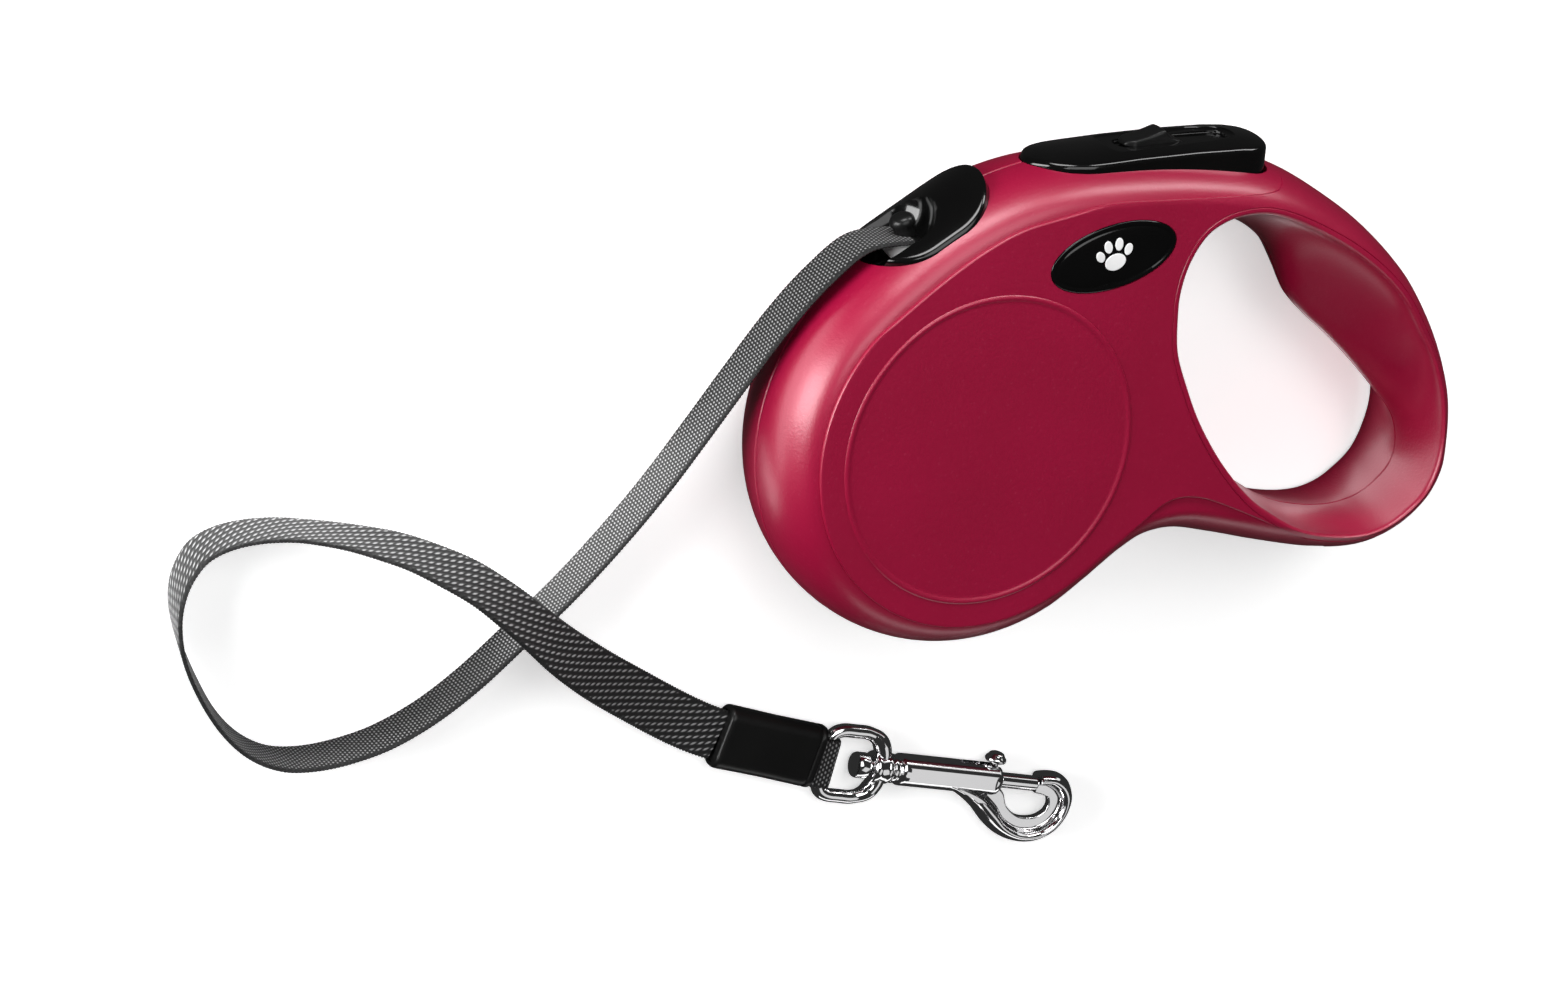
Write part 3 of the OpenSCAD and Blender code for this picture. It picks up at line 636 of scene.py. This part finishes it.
def hand_hole(name):
    """The cutter for the hand hole: pinched at the joint, rolled over at the rim."""
    rings = [lift(offset(WAIST, 0.3), -1.0), lift(offset(WAIST, 0.28), 0.0)]
    steps = [0.02, 0.06, 0.12, 0.2, 0.28, 0.36, 0.44, 0.52, 0.6, 0.68, 0.76, 0.84, 0.91, 0.96]
    for t in steps:
        s = t * t * (3 - 2 * t)
        ring = [w + (r - w) * s for w, r in zip(WAIST, RIM)]
        rings.append(lift(ring, [t * (z - 1.3) for z in RIM_Z]))
    for out, drop in [(0, 1.3), (0.06, 0.95), (0.2, 0.6), (0.42, 0.32), (0.72, 0.12),
                      (1.05, 0.0), (1.3, -0.15), (1.6, -1.5)]:
        rings.append(lift(offset(RIM, out), [z - drop for z in RIM_Z]))
    return loft(name, rings)


def rim_line(name):
    """Fine groove that runs round the hole just outside its rolled edge."""
    loop = offset(RIM, 1.75)[::2]
    path = [(p.x, p.y, surface_z(p) + 0.02) for p in loop]
    return sweep(name, path, round_section(0.2, 10), closed=True, side=(0, 0, 1))


def soft_prism(name, loop, low, high, r, steps=5):
    """Prism with a rounded top edge."""
    rings = [lift(loop, low)]
    for k in range(steps + 1):
        a = math.pi / 2 * k / steps
        rings.append(lift(offset(loop, -r * (1 - math.cos(a))), high - r + r * math.sin(a)))
    return loft(name, rings)


def face_cutter(name):
    """Everything on the face side of the line, reaching past the handle's outside."""
    n = 24 * (len(LINE_PTS) - 1)
    line = [Vector(on_line(LINE_PTS, k / 24)) for k in range(n + 1)]
    loop = line + [Vector(p) for p in [(118, -46), (136, -30), (138, 0), (128, 30), (104, 56),
                                       (84, 66)]]
    return soft_prism(name, loop, 9.0, PANEL_Z, 0.45)


def reel_room():
    return lathe("room", [(0.01, -1), (46.4, -1), (46.4, 6.6), (45.4, 9.6), (43.6, 12.4),
                          (41, 14.6), (0.01, 14.6)], 128)


BUTTON_PLAN = [(11, 0), (11.3, 1.8), (12.2, 3.6), (14.3, 6.2), (17.5, 8.4), (21.5, 9.6), (26, 10),
               (36, 10), (50, 10), (60, 10), (64.4, 9.7), (67, 8.6), (68.8, 6.6), (69.6, 3.6)]


def plan_loop(grow, count=160):
    pts = BUTTON_PLAN + [(69.8, 0)] + [(x, -z) for x, z in reversed(BUTTON_PLAN[1:])]
    loop = even_loop(pts, count)
    area = sum(p.x * q.y - q.x * p.y for p, q in zip(loop, loop[1:] + loop[:1]))
    if area < 0:
        loop.reverse()
    return offset(loop, grow)


UP_Y = Matrix(((1, 0, 0), (0, 0, 1), (0, 1, 0)))  # plan (x, z) with height to (x, height, z)


def button_bay():
    """The button's well, a little longer at the front for its swing."""
    loop = [Vector((p.x + 0.5 * min(1.0, max(0.0, (p.x - 40) / 28)), p.y))
            for p in plan_loop(0.32)]
    return prism("bay", loop, 51.2, 75, UP_Y)


OUTLET = (-17.5, 48.4)
OUTLET_TURN = math.radians(32)
BEZEL_ROUND, BEZEL_REACH, BEZEL_SHIFT = 13.0, 3.5, 3.6


def outlet_frame(z=0.0):
    """x along the case edge, y out of the case, z across it."""
    return Matrix.Translation((OUTLET[0], OUTLET[1], z)) @ Matrix.Rotation(OUTLET_TURN, 4, "Z")


def stadium(grow, count=60):
    loop = []
    for side, start in ((1, -90), (-1, 90)):
        for k in range(count):
            a = math.radians(start + 180 * k / (count - 1))
            r = BEZEL_ROUND + grow
            loop.append(Vector((BEZEL_SHIFT + side * BEZEL_REACH + r * math.cos(a),
                                r * math.sin(a))))
    return loop


def outlet_cut():
    return prism("outlet", stadium(0.05), -9.5, 14, outlet_frame() @ UP_Y.to_4x4())


def oval(a, b, grow=0.0, count=120):
    return [Vector(((a + grow) * math.cos(TAU * k / count), (b + grow) * math.sin(TAU * k / count)))
            for k in range(count)]


BADGE_PT, BADGE_TURN, BADGE_A, BADGE_B = (26.3, 42.6), math.radians(12), 15.7, 7.4


def badge_frame(z):
    return Matrix.Translation((BADGE_PT[0], BADGE_PT[1], z)) @ Matrix.Rotation(BADGE_TURN, 4, "Z")


def disc(name):
    """Round disc with a fine raised bead at its edge."""
    return lathe(name, [(0.01, 15.5), (35.6, 15.5), (35.6, PANEL_Z - 0.02), (35.45, 16.86),
                        (35.2, 16.98), (34.9, DISC_Z), (34.6, 16.96), (34.3, 16.84),
                        (34.1, 16.76), (33.6, 16.74), (0.01, 16.74)], 240)


SCREWS = [(50.5, -21), (42.5, 44), (77.5, 49.8), (6.5, 51.8)]


def half_case(name, upper):
    case = crowned(name, FACE_Z)
    plate = combine(crowned("plate", PANEL_Z + 0.01), face_cutter("line"), "INTERSECT")
    combine(case, [plate, disc("disc")], "UNION")
    combine(case, [hand_hole("hole"), rim_line("rim"), reel_room(), button_bay(), outlet_cut()],
            "DIFFERENCE")
    if upper:
        combine(case, prism("seat", oval(BADGE_A, BADGE_B, 0.12), 15.4, 20, badge_frame(0)),
                "DIFFERENCE")
    else:
        for x, y in SCREWS:
            combine(case, lathe("screw", [(0.01, 11), (2.8, 11), (2.8, 20), (0.01, 20)], 40,
                                Matrix.Translation((x, y, 0))), "DIFFERENCE")
    flip = -1 if not upper else 1
    case.data.transform(Matrix.Translation((0, 0, MID * MM)) @ Matrix.Diagonal((1, 1, flip, 1)))
    if not upper:
        case.data.flip_normals()
    return tidy(case, 34)


place(half_case("left_casing_shell", True), "case", CRIMSON, ["left_casing"])
place(half_case("right_casing_shell", False), "case", CRIMSON, ["right_casing"])


# ---------------------------------------------------------------- badge
def badge():
    steps = [(0.0, -0.0), (1.15, 0.0), (1.35, -0.1), (1.45, -0.35), (1.42, -0.9), (1.30, -1.15),
             (1.30, -1.35)]
    rings = [lift(oval(BADGE_A, BADGE_B, g), h) for h, g in steps]
    for k in range(1, 9):
        a = math.pi / 2 * k / 8
        f = math.cos(a)
        rings.append(lift(oval((BADGE_A - 1.35) * f + 0.01, (BADGE_B - 1.35) * f + 0.01),
                          1.30 + 0.42 * math.sin(a)))
    return loft("badge_dome", rings, badge_frame(MID + 15.4))


place(tidy(badge(), 50), "case", GLOSS, ["badge"])


def paw():
    """A plain paw print, raised a hair above the badge."""
    pads = [(0, -1.1, 2.6, 1.9, 0), (-3.5, 1.0, 1.0, 1.35, 25), (-1.35, 2.7, 1.0, 1.45, 8),
            (1.35, 2.7, 1.0, 1.45, -8), (3.5, 1.0, 1.0, 1.35, -25)]
    base = None
    for x, y, a, b, turn in pads:
        t = Matrix.Translation((x, y, 0)) @ Matrix.Rotation(math.radians(turn), 4, "Z")
        r2 = (x / 14.3) ** 2 + (y / 6.0) ** 2
        high = 1.30 + 0.42 * math.sqrt(max(0, 1 - r2))
        pad = loft("pad", [lift(oval(a, b, g, 40), high + h) for h, g in
                           [(-0.5, 0), (0.04, 0), (0.10, -0.06), (0.12, -0.18)]],
                   badge_frame(MID + 15.4) @ t)
        base = pad if base is None else combine(base, pad, "UNION")
    base.name = "badge_mark"
    return base


place(tidy(paw(), 40), "case", MARK)


# ---------------------------------------------------------------- outlet bezel and knob
BEZEL_CROWN, BEZEL_DROP = 23.6, -22.7
SCOOP_ROUND = 9.0


def bezel():
    loop = stadium(0.0)
    centre = Vector((BEZEL_SHIFT, 0))

    def skin(p, lowered):
        return BEZEL_DROP + math.sqrt(BEZEL_CROWN ** 2 - min(abs(p.y), 14) ** 2) - lowered

    rings = []
    for grow, lowered in [(0, 6.5), (0, 0.75), (-0.08, 0.4), (-0.28, 0.15), (-0.6, 0.03),
                          (-1.0, 0.0)]:
        ring = offset(loop, grow)
        rings.append([(p.x, skin(p, lowered), p.y) for p in ring])
    inner = offset(loop, -1.0)
    for k in range(1, 10):
        ring = [centre + (p - centre) * (1 - k / 9.4) for p in inner]
        rings.append([(p.x, skin(p, 0), p.y) for p in ring])
    body = loft("outlet_bezel_cover", rings)
    # scoop that opens towards the tape
    path = [(-1.0 - 1.6 * k, 3.4 + 0.024 * k * k, 1.0) for k in range(11)]
    scoop = []
    turns, arcs = 56, 14
    wide = SCOOP_ROUND
    head = path[0]
    for k in range(arcs):
        a = math.pi / 2 * (1 - k / arcs)
        c = Vector(head) + Vector((wide * math.sin(a), 0, 0))
        r = wide * math.cos(a) + 0.02
        scoop.append([(c.x, c.y + r * math.sin(TAU * i / turns), c.z + r * math.cos(TAU * i / turns))
                      for i in range(turns)])
    for x, y, z in path:
        scoop.append([(x, y + wide * math.sin(TAU * i / turns),
                       z + wide * math.cos(TAU * i / turns)) for i in range(turns)])
    combine(body, loft("scoop", scoop), "DIFFERENCE")
    frame_at = outlet_frame(MID)
    carry(body, frame_at)
    room = lathe("inside", [(0.01, -2), (43.2, -2), (43.2, 36), (0.01, 36)], 128)
    combine(body, room, "DIFFERENCE")
    return tidy(body, 34)


place(bezel(), "case", GLOSS, ["outlet_bezel"])


def knob():
    tilt = outlet_frame(MID) @ Matrix.Translation((-1.2, -3.9, 0.3)) @ \
        Matrix.Rotation(math.radians(-90), 4, "X") @ Matrix.Rotation(math.radians(12), 4, "Y")
    return lathe("guide_knob_cap", [(0.01, -1.5), (2.3, -1.5), (2.3, 2.6), (2.45, 3.2), (2.75, 3.6),
                                    (2.85, 4.2), (2.75, 4.8), (2.4, 5.35), (1.8, 5.75),
                                    (1.0, 5.95), (0.01, 6.0)], 56, tilt)


place(tidy(knob(), 40), "case", SATIN, ["guide_knob"])


# ---------------------------------------------------------------- brake button
TOP_LINE = [(9, 59.2), (11, 60.9), (14, 61.9), (20, 62.6), (35, 63.6), (50, 64.2), (61, 64.3),
            (66, 64.0), (69.8, 63.4), (72, 62.8)]


def along_x(points, x):
    for (x0, y0), (x1, y1) in zip(points, points[1:]):
        if x <= x1:
            return y0 + (y1 - y0) * (x - x0) / (x1 - x0)
    return points[-1][1]


def button():
    """Thumb button: rounded plan, crowned top, small edge radius."""
    outer = plan_loop(0.0, 200)
    centre = Vector((42, 0))

    def top(p, drop):
        fall = 1.5 * (abs(p.y) / 10) ** 2.2
        return along_x(TOP_LINE, p.x) - fall - drop

    rings = [[(p.x, 56.3, p.y) for p in outer]]
    for grow, drop in [(0, 1.0), (-0.07, 0.62), (-0.28, 0.28), (-0.6, 0.08), (-1.0, 0.0)]:
        rings.append([(p.x, top(p, drop), p.y) for p in offset(outer, grow)])
    inner = offset(outer, -1.0)
    for k in range(1, 13):
        f = 1 - k / 12.4
        ring = [Vector((centre.x + (p.x - centre.x) * f, p.y * f)) for p in inner]
        rings.append([(p.x, top(p, 0), p.y) for p in ring])
    body = loft("brake_button_cap", rings, Matrix.Translation((0, 0, MID)))
    # dished track for the lock slider, then the slot inside it
    track = even_loop([(30.3, -3), (31.4, -6.2), (35, -6.8), (48, -6.2), (58, -5.2), (62.5, -3.2),
                       (63.3, 0), (62.5, 3.2), (58, 5.2), (48, 6.2), (35, 6.8), (30.9, 5.6),
                       (29.9, 1.5)], 120)
    cut = loft("track", [[(p.x, along_x(TOP_LINE, p.x) + d, p.y) for p in offset(track, g)]
                         for d, g in [(-0.75, -1.3), (-0.72, -0.8), (-0.4, -0.25), (0.1, 0.0),
                                      (2.5, 0.2)]], Matrix.Translation((0, 0, MID)))
    slot = even_loop([(34.4, -2.4), (37, -3.1), (48, -3.1), (59, -3.0), (61.4, -1.8), (61.8, 0),
                      (61.4, 1.8), (59, 3.0), (48, 3.1), (37, 3.1), (34.4, 2.4), (33.6, 0)], 100)
    well = loft("slot", [[(p.x, along_x(TOP_LINE, p.x) + d, p.y) for p in offset(slot, g)]
                         for d, g in [(-1.35, -0.3), (-1.15, 0.0), (2.0, 0.0)]],
                Matrix.Translation((0, 0, MID)))
    combine(body, [cut, well], "DIFFERENCE")
    hollow = block("hollow", (25, 54, 9.7), (63.5, 60.2, 24.3))
    combine(body, hollow, "DIFFERENCE")
    return tidy(body, 34)


place(button(), "brake", GLOSS, ["brake_button"])


def pawl():
    """Brake pawl: a stamped plate with rolled edges, its head inside the button's wall."""
    low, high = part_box("brake_pawl")
    loop = [Vector(p) for p in [(24, 59.8), (24, 50), (25.4, 41), (25.9, 35), (27.2, 33.6),
                                (29.2, 33.4), (30.6, 36), (32.6, 44), (34, 50), (34, 59.8)]]
    return soft_prism("brake_pawl_plate", loop, low[2] / MM, high[2] / MM, 0.3)


place(tidy(pawl(), 40), "brake", STEEL, ["brake_pawl"])


def slider():
    """Lock slider: a thumb wedge with a hollowed back, on a low foot."""
    foot = 62.75
    upper = [(35.3, 0.05), (35.5, 0.7), (36.3, 1.15), (38, 1.55), (40.2, 2.05), (42.4, 2.75),
             (43.8, 3.25), (44.5, 3.4), (45.0, 3.2), (45.4, 2.7), (45.9, 2.1), (46.6, 1.55),
             (47.5, 1.15), (48.6, 0.85), (49.4, 0.5), (49.6, 0.05)]
    n = 90
    rows = [on_line(upper, (len(upper) - 1) * k / n) for k in range(n + 1)]
    rings = []
    half = [(1.0, 0.0), (1.0, 0.62), (0.985, 0.78), (0.93, 0.9), (0.82, 0.965), (0.5, 0.99), (0, 1)]
    profile = half + [(-a, b) for a, b in reversed(half[:-1])]
    for x, h in rows:
        width = 2.95 * min(1.0, math.sqrt(max(0.0, (x - 34.7) / 2.6)), 0.6 + (50.6 - x) / 3)
        rings.append([(x, foot + h * b, width * a) for a, b in profile])
    return loft("lock_slider_wedge", rings, Matrix.Translation((0, 0, MID)))


place(tidy(slider(), 40), "lock", SATIN, ["lock_slider"])

# ---------------------------------------------------------------- sleeve and loop of tape
SLEEVE_FRAME = Matrix.Translation((SLEEVE_END[0], SLEEVE_END[1], HOOK_Z)) @ \
    Matrix.Rotation(SLEEVE_TURN, 4, "Z")
HOOK_FRAME = Matrix.Translation((-19, -83.05, HOOK_Z)) @ Matrix.Rotation(math.radians(-12), 4, "Z")
BAR_U = 1.7


def rounded_box(w, h, r, count=9):
    loop = []
    for sx, sy, start in ((1, 1, 0), (-1, 1, 90), (-1, -1, 180), (1, -1, 270)):
        for k in range(count):
            a = math.radians(start + 90 * k / (count - 1))
            loop.append(Vector((sx * (w - r) + r * math.cos(a), sy * (h - r) + r * math.sin(a))))
    return loop


def sleeve():
    w, h, long = 7.4, 3.4, SLEEVE_LONG
    stops = [(0.0, 1.0), (0.05, 0.72), (0.16, 0.48), (0.35, 0.27), (0.6, 0.12), (0.95, 0.03),
             (1.4, 0.0), (long / 2, 0.14), (long - 3.2, 0.04), (long - 2.3, 0.02),
             (long - 2.1, 0.1), (long - 1.95, 0.24), (long - 1.75, 0.24), (long - 1.6, 0.1),
             (long - 1.4, 0.0), (long - 0.6, 0.0), (long - 0.3, 0.08), (long - 0.1, 0.25),
             (long, 0.5)]
    rings = []
    for x, pinch in stops:
        rings.append([(x - long, p.x, p.y)
                      for p in rounded_box(w - pinch, h - pinch, 2.85 - 0.5 * pinch, 17)])
    # lips round the tape at both ends
    hollow_a = block("mouth", (-long - 1, -6.3, -1.1), (-long + 0.9, 6.3, 1.1))
    hollow_b = block("mouth", (-1.1, -6.2, -2.45), (1, 6.2, 2.45))
    body = loft("tape_sleeve_cover", rings)
    combine(body, [hollow_a, hollow_b], "DIFFERENCE")
    carry(body, SLEEVE_FRAME)
    return tidy(body, 34)


sleeve_obj = place(sleeve(), "case", SLEEVE, ["tape_sleeve"])


def eye_loop():
    r = 1.6 + 0.3 + 0.45
    line = [Vector((-1.5 + 3.2 * k / 6, 0, r)) for k in range(6)]
    line += [Vector((BAR_U + r * math.sin(math.pi * k / 24), 0, r * math.cos(math.pi * k / 24)))
             for k in range(25)]
    line += [Vector((1.7 - 3.2 * k / 6, 0, -r)) for k in range(1, 7)]
    rings = []
    for i, p in enumerate(line):
        d = (line[min(i + 1, len(line) - 1)] - line[max(i - 1, 0)]).normalized()
        across = Vector((0, 1, 0))
        rings.append((HOOK_FRAME @ p, HOOK_FRAME.to_3x3() @ across,
                      HOOK_FRAME.to_3x3() @ (across.cross(d))))
    return tape_strip("tape_eye_loop_woven", rings, 11.4, 0.9)


loop_obj = place(eye_loop(), "case", TAPE, ["tape_eye_loop"])

# ---------------------------------------------------------------- swivel eye and snap hook


def swivel_eye():
    """Rounded wire ring, a little heavier at its far side, with a bored boss."""
    a, far = 7.9, 16.6
    pts = [(BAR_U, -4.4), (BAR_U, 0), (BAR_U, 4.4), (2.4, 6.7), (4.6, 7.8), (8, a), (11.4, 7.8),
           (14.6, 6.5), (16.3, 4), (far, 1.5), (far, -1.5), (16.3, -4), (14.6, -6.5), (11.4, -7.8),
           (8, -a), (4.6, -7.8), (2.4, -6.7)]
    pts = [pts[0]] + pts[:0:-1]
    n = 150
    path = [Vector(p) for p in even_loop(pts, n)]
    rings = []
    for i, p in enumerate(path):
        d = (path[(i + 1) % n] - path[i - 1]).normalized()
        s = Vector((-d.y, d.x))
        heavy = min(1.0, max(0.0, (p.x - 12.5) / 3))
        wide, tall = 1.6 + 0.45 * heavy, 1.6 + 0.75 * heavy
        rings.append([(p.x + s.x * wide * math.cos(t), p.y + s.y * wide * math.cos(t),
                       tall * math.sin(t)) for t in [TAU * k / 26 for k in range(26)]])
    ring = loft("swivel_eye_ring", rings, closed=True)
    along_u = Matrix.Rotation(math.radians(90), 4, "Y")
    boss = lathe("boss", [(0.01, 14.1), (3.1, 14.1), (3.5, 14.3), (3.7, 14.7), (3.7, 15.6),
                          (3.55, 15.9), (3.55, 17.3), (3.7, 17.6), (3.7, 18.3), (3.5, 18.65),
                          (3.1, 18.8), (0.01, 18.8)], 72, along_u)
    combine(ring, boss, "UNION")
    combine(ring, lathe("bore", [(0.01, 10), (1.8, 10), (1.8, 22), (0.01, 22)], 40, along_u),
            "DIFFERENCE")
    carry(ring, HOOK_FRAME)
    return tidy(ring, 40)


eye_obj = place(swivel_eye(), "eye", CHROME, ["swivel_eye"])

# outer and inner edge of the hook's arm, in step, with its half thickness
ARM = [((33, -2.2), (34, 0.4), 3.3), ((38.5, -4.2), (40, 0.2), 3.5), ((43.5, -7), (45.8, -0.2), 3.6),
       ((48, -10.6), (50.6, -2.4), 3.6), ((52.8, -13.2), (52.9, -5.9), 3.6),
       ((58, -14.3), (56.8, -8.1), 3.6), ((63, -13.5), (60.9, -8.0), 3.5),
       ((67, -10.9), (63.3, -6.6), 3.4), ((69.4, -6.8), (64.1, -4.7), 3.3),
       ((69.9, -2.4), (63.4, -2.9), 3.2), ((68.2, 1.2), (61.9, -2.5), 3.1),
       ((65.2, 3.1), (60.8, -2.3), 3.0), ((62.4, 3.4), (60.1, -2.25), 2.9),
       ((59.8, 3.0), (59.7, -2.2), 2.7)]


def hook():
    n = 120
    last = len(ARM) - 1
    upper = [(-1, 0.0), (-1, 0.16), (-0.985, 0.23), (-0.94, 0.27), (-0.86, 0.285), (-0.55, 0.29),
             (-0.22, 0.3), (-0.14, 0.33), (-0.07, 0.42), (0.0, 0.6), (0.08, 0.78), (0.2, 0.93),
             (0.34, 0.99), (0.48, 0.97), (0.64, 0.86), (0.8, 0.66), (0.92, 0.38), (0.98, 0.18),
             (1, 0.0)]
    section = upper + [(a, -b) for a, b in reversed(upper[1:-1])]
    rings = []
    for k in range(n + 1):
        s = last * k / n
        o = Vector(on_line([a for a, b, c in ARM], s))
        i = Vector(on_line([b for a, b, c in ARM], s))
        t = on_line([(c, 0) for a, b, c in ARM], s)[0]
        mid, half = (o + i) / 2, (o - i) / 2
        rings.append([(mid.x + half.x * a, mid.y + half.y * a, t * b) for a, b in section])
    arm = loft("hook_body_cast", rings)
    along_u = Matrix.Rotation(math.radians(90), 4, "Y")
    barrel = lathe("barrel", [(0.01, 9.8), (2.4, 9.8), (2.85, 10.0), (3.0, 10.4), (3.0, 12.5),
                              (2.85, 12.9), (2.4, 13.2), (1.7, 13.3), (1.7, 19.0), (2.9, 19.05),
                              (3.3, 19.3), (3.4, 19.8), (3.3, 20.3), (3.05, 20.6), (3.05, 20.9),
                              (3.4, 21.2), (3.7, 21.6), (3.75, 22.2), (3.75, 47.2), (3.6, 48.0),
                              (3.2, 48.5), (2.6, 48.6), (0.01, 48.6)], 96, along_u)
    combine(arm, barrel, "UNION")
    combine(arm, [lathe("bore", [(0.01, 23), (1.86, 23), (1.86, 51), (0.01, 51)], 48, along_u),
                  block("slot", (37.4, 0, -1.25), (49.4, 6, 1.25)),
                  block("flat", (23.2, -5, 3.4), (46.8, 5, 6)),
                  block("flat", (23.2, -5, -6), (46.8, 5, -3.4))], "DIFFERENCE")
    carry(arm, HOOK_FRAME)
    return tidy(arm, 38)


hook_obj = place(hook(), "hook", CHROME, ["hook_body"])


def bolt():
    along_u = HOOK_FRAME @ Matrix.Rotation(math.radians(90), 4, "Y")
    return lathe("hook_bolt_rod", [(0.01, 34), (1.6, 34), (1.8, 34.2), (1.8, 48.8), (1.72, 49.0),
                                   (1.8, 49.2), (1.8, 59.0), (1.65, 59.35), (1.35, 59.5),
                                   (0.01, 59.5)], 64, along_u)


bolt_obj = place(tidy(bolt(), 40), "bolt", CHROME, ["hook_bolt"])


def bolt_knob():
    frame_at = HOOK_FRAME @ Matrix.Translation((46.8, 0, 0)) @ \
        Matrix.Rotation(math.radians(-90), 4, "X")
    return lathe("bolt_knob_cap", [(0.01, -0.8), (1.0, -0.8), (1.0, 3.9), (1.6, 4.1), (2.2, 4.25),
                                   (2.5, 4.6), (2.55, 5.0), (2.4, 5.4), (2.1, 5.65), (1.95, 5.95),
                                   (1.7, 6.35), (1.2, 6.6), (0.6, 6.7), (0.01, 6.7)], 64, frame_at)


knob_obj = place(tidy(bolt_knob(), 40), "bolt", CHROME, ["bolt_knob"])

# ---------------------------------------------------------------- the tape is the free cord
place(tape, "case", TAPE, ["leash_tape"])

# ---------------------------------------------------------------- materials of the inner parts
INNER = {
    "casing_screws": STEEL, "guide_roller": NYLON, "roller_pin": STEEL,
    "button_pivot": STEEL, "button_spring": STEEL, "drum": SATIN, "cup_cover": STEEL,
    "ratchet_ring": NYLON, "mainspring": STEEL, "axle": STEEL, "bolt_spring": STEEL,
    "tape_winding": SATIN, "tape_lead": SATIN}
for name, mat in INNER.items():
    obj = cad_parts[name]
    obj.data.materials.clear()
    obj.data.materials.append(mat)


# ---------------------------------------------------------------- floor and light
def stage_piece(name, verts, faces, rough, specular, clouds, tone, glow):
    """A pale glowing sheet behind the object, which neither bounces nor mirrors in it."""
    mesh = bpy.data.meshes.new(name)
    mesh.from_pydata(verts, [], faces)
    obj = bpy.data.objects.new(name, mesh)
    bpy.context.scene.collection.objects.link(obj)
    mat, tree, bsdf = shader(name + "_pale", Roughness=rough, Specular_IOR_Level=specular,
                             Emission_Color=(1, 1, 1, 1), Emission_Strength=glow)
    cloud = noise(tree, coords(tree), clouds, 2)
    tree.links.new(ramp(tree, cloud, [(0.3, grey(tone)), (0.7, grey(tone + 0.02))]),
                   bsdf.inputs["Base Color"])
    mesh.materials.append(mat)
    obj.visible_diffuse = obj.visible_glossy = False
    return obj


def floor():
    s, z = 6.0, -0.0002
    stage_piece("floor", [(-s, -s, z), (s, -s, z), (s, s, z), (-s, s, z)], [(0, 1, 2, 3)],
                0.9, 0.1, 3, 0.90, 0.55)


def backdrop():
    """Pale round wall far behind everything, seen from the sides only."""
    n, r = 64, 5.6
    ring = [(r * math.cos(TAU * k / n), r * math.sin(TAU * k / n)) for k in range(n)]
    verts = [(x, y, z) for z in (-0.01, 7.0) for x, y in ring]
    faces = [(k, (k + 1) % n, n + (k + 1) % n, n + k) for k in range(n)]
    faces.append(tuple(range(n, 2 * n)))
    wall = stage_piece("backdrop", verts, faces, 1.0, 0.0, 2, 0.80, 0.72)
    wall.visible_shadow = False


def lamp(name, place_at, aim, size, power):
    data = bpy.data.lights.new(name, "AREA")
    data.shape = "RECTANGLE"
    data.size, data.size_y = size
    data.energy = power
    obj = bpy.data.objects.new(name, data)
    bpy.context.scene.collection.objects.link(obj)
    obj.location = place_at
    obj.rotation_mode = "QUATERNION"
    obj.rotation_quaternion = (Vector(aim) - Vector(place_at)).to_track_quat("-Z", "Y")
    return obj


floor()
backdrop()
# name, place, aim, size, power; the last two are panels lying on the floor
for name, place_at, aim, size, power in [
        ("front_fill", (0.25, -0.90, 0.15), (0.0, 0.0, 0.02), (0.8, 0.25), 0.9),
        ("left_box", (-0.70, 0.13, 0.16), (-0.04, 0.02, 0.02), (0.34, 0.50), 6.8),
        ("back_box", (-0.12, 0.70, 0.24), (0.09, 0.0, 0.02), (0.40, 0.25), 3.4),
        ("right_box", (0.55, 0.80, 0.30), (0.05, 0.03, 0.02), (0.5, 0.22), 3.4),
        ("over_box", (0.05, 0.55, 1.20), (0.0, 0.0, 0.0), (0.9, 0.9), 7.0),
        ("front_spot", (-0.45, 0.30, 1.15), (0.0, 0.0, 0.0), (0.2, 0.2), 0.9),
        ("floor_left", (-0.125, 0.02, 0.0008), (-0.125, 0.02, 1.0), (0.12, 0.12), 0.12),
        ("floor_hole", (0.100, -0.006, 0.0008), (0.100, -0.006, 1.0), (0.025, 0.025), 0.005)]:
    lamp(name, place_at, aim, size, power)
# cards that only the metal pieces reflect
chrome_pieces = bpy.data.collections.new("chrome_pieces")
for obj in (eye_obj, hook_obj, bolt_obj, knob_obj):
    chrome_pieces.objects.link(obj)
for name, place_at, size, power in [
        ("card_face", (0.36, -0.36, 0.62), (0.42, 0.42), 0.40),
        ("card_top", (0.45, 0.40, 0.16), (0.55, 0.30), 0.50),
        ("card_left", (-0.55, 0.02, 0.40), (0.45, 0.45), 0.40),
        ("card_back", (0.0, 0.60, 0.10), (0.6, 0.20), 0.25)]:
    card = lamp(name, place_at, (0.01, -0.09, 0.0), size, power)
    card.light_linking.receiver_collection = chrome_pieces
world = bpy.data.worlds.new("studio")
bpy.context.scene.world = world
world.use_nodes = True
world.node_tree.nodes["Background"].inputs["Color"].default_value = (1, 1, 1, 1)
world.node_tree.nodes["Background"].inputs["Strength"].default_value = 0.03
bpy.context.scene.view_settings.view_transform = "Standard"
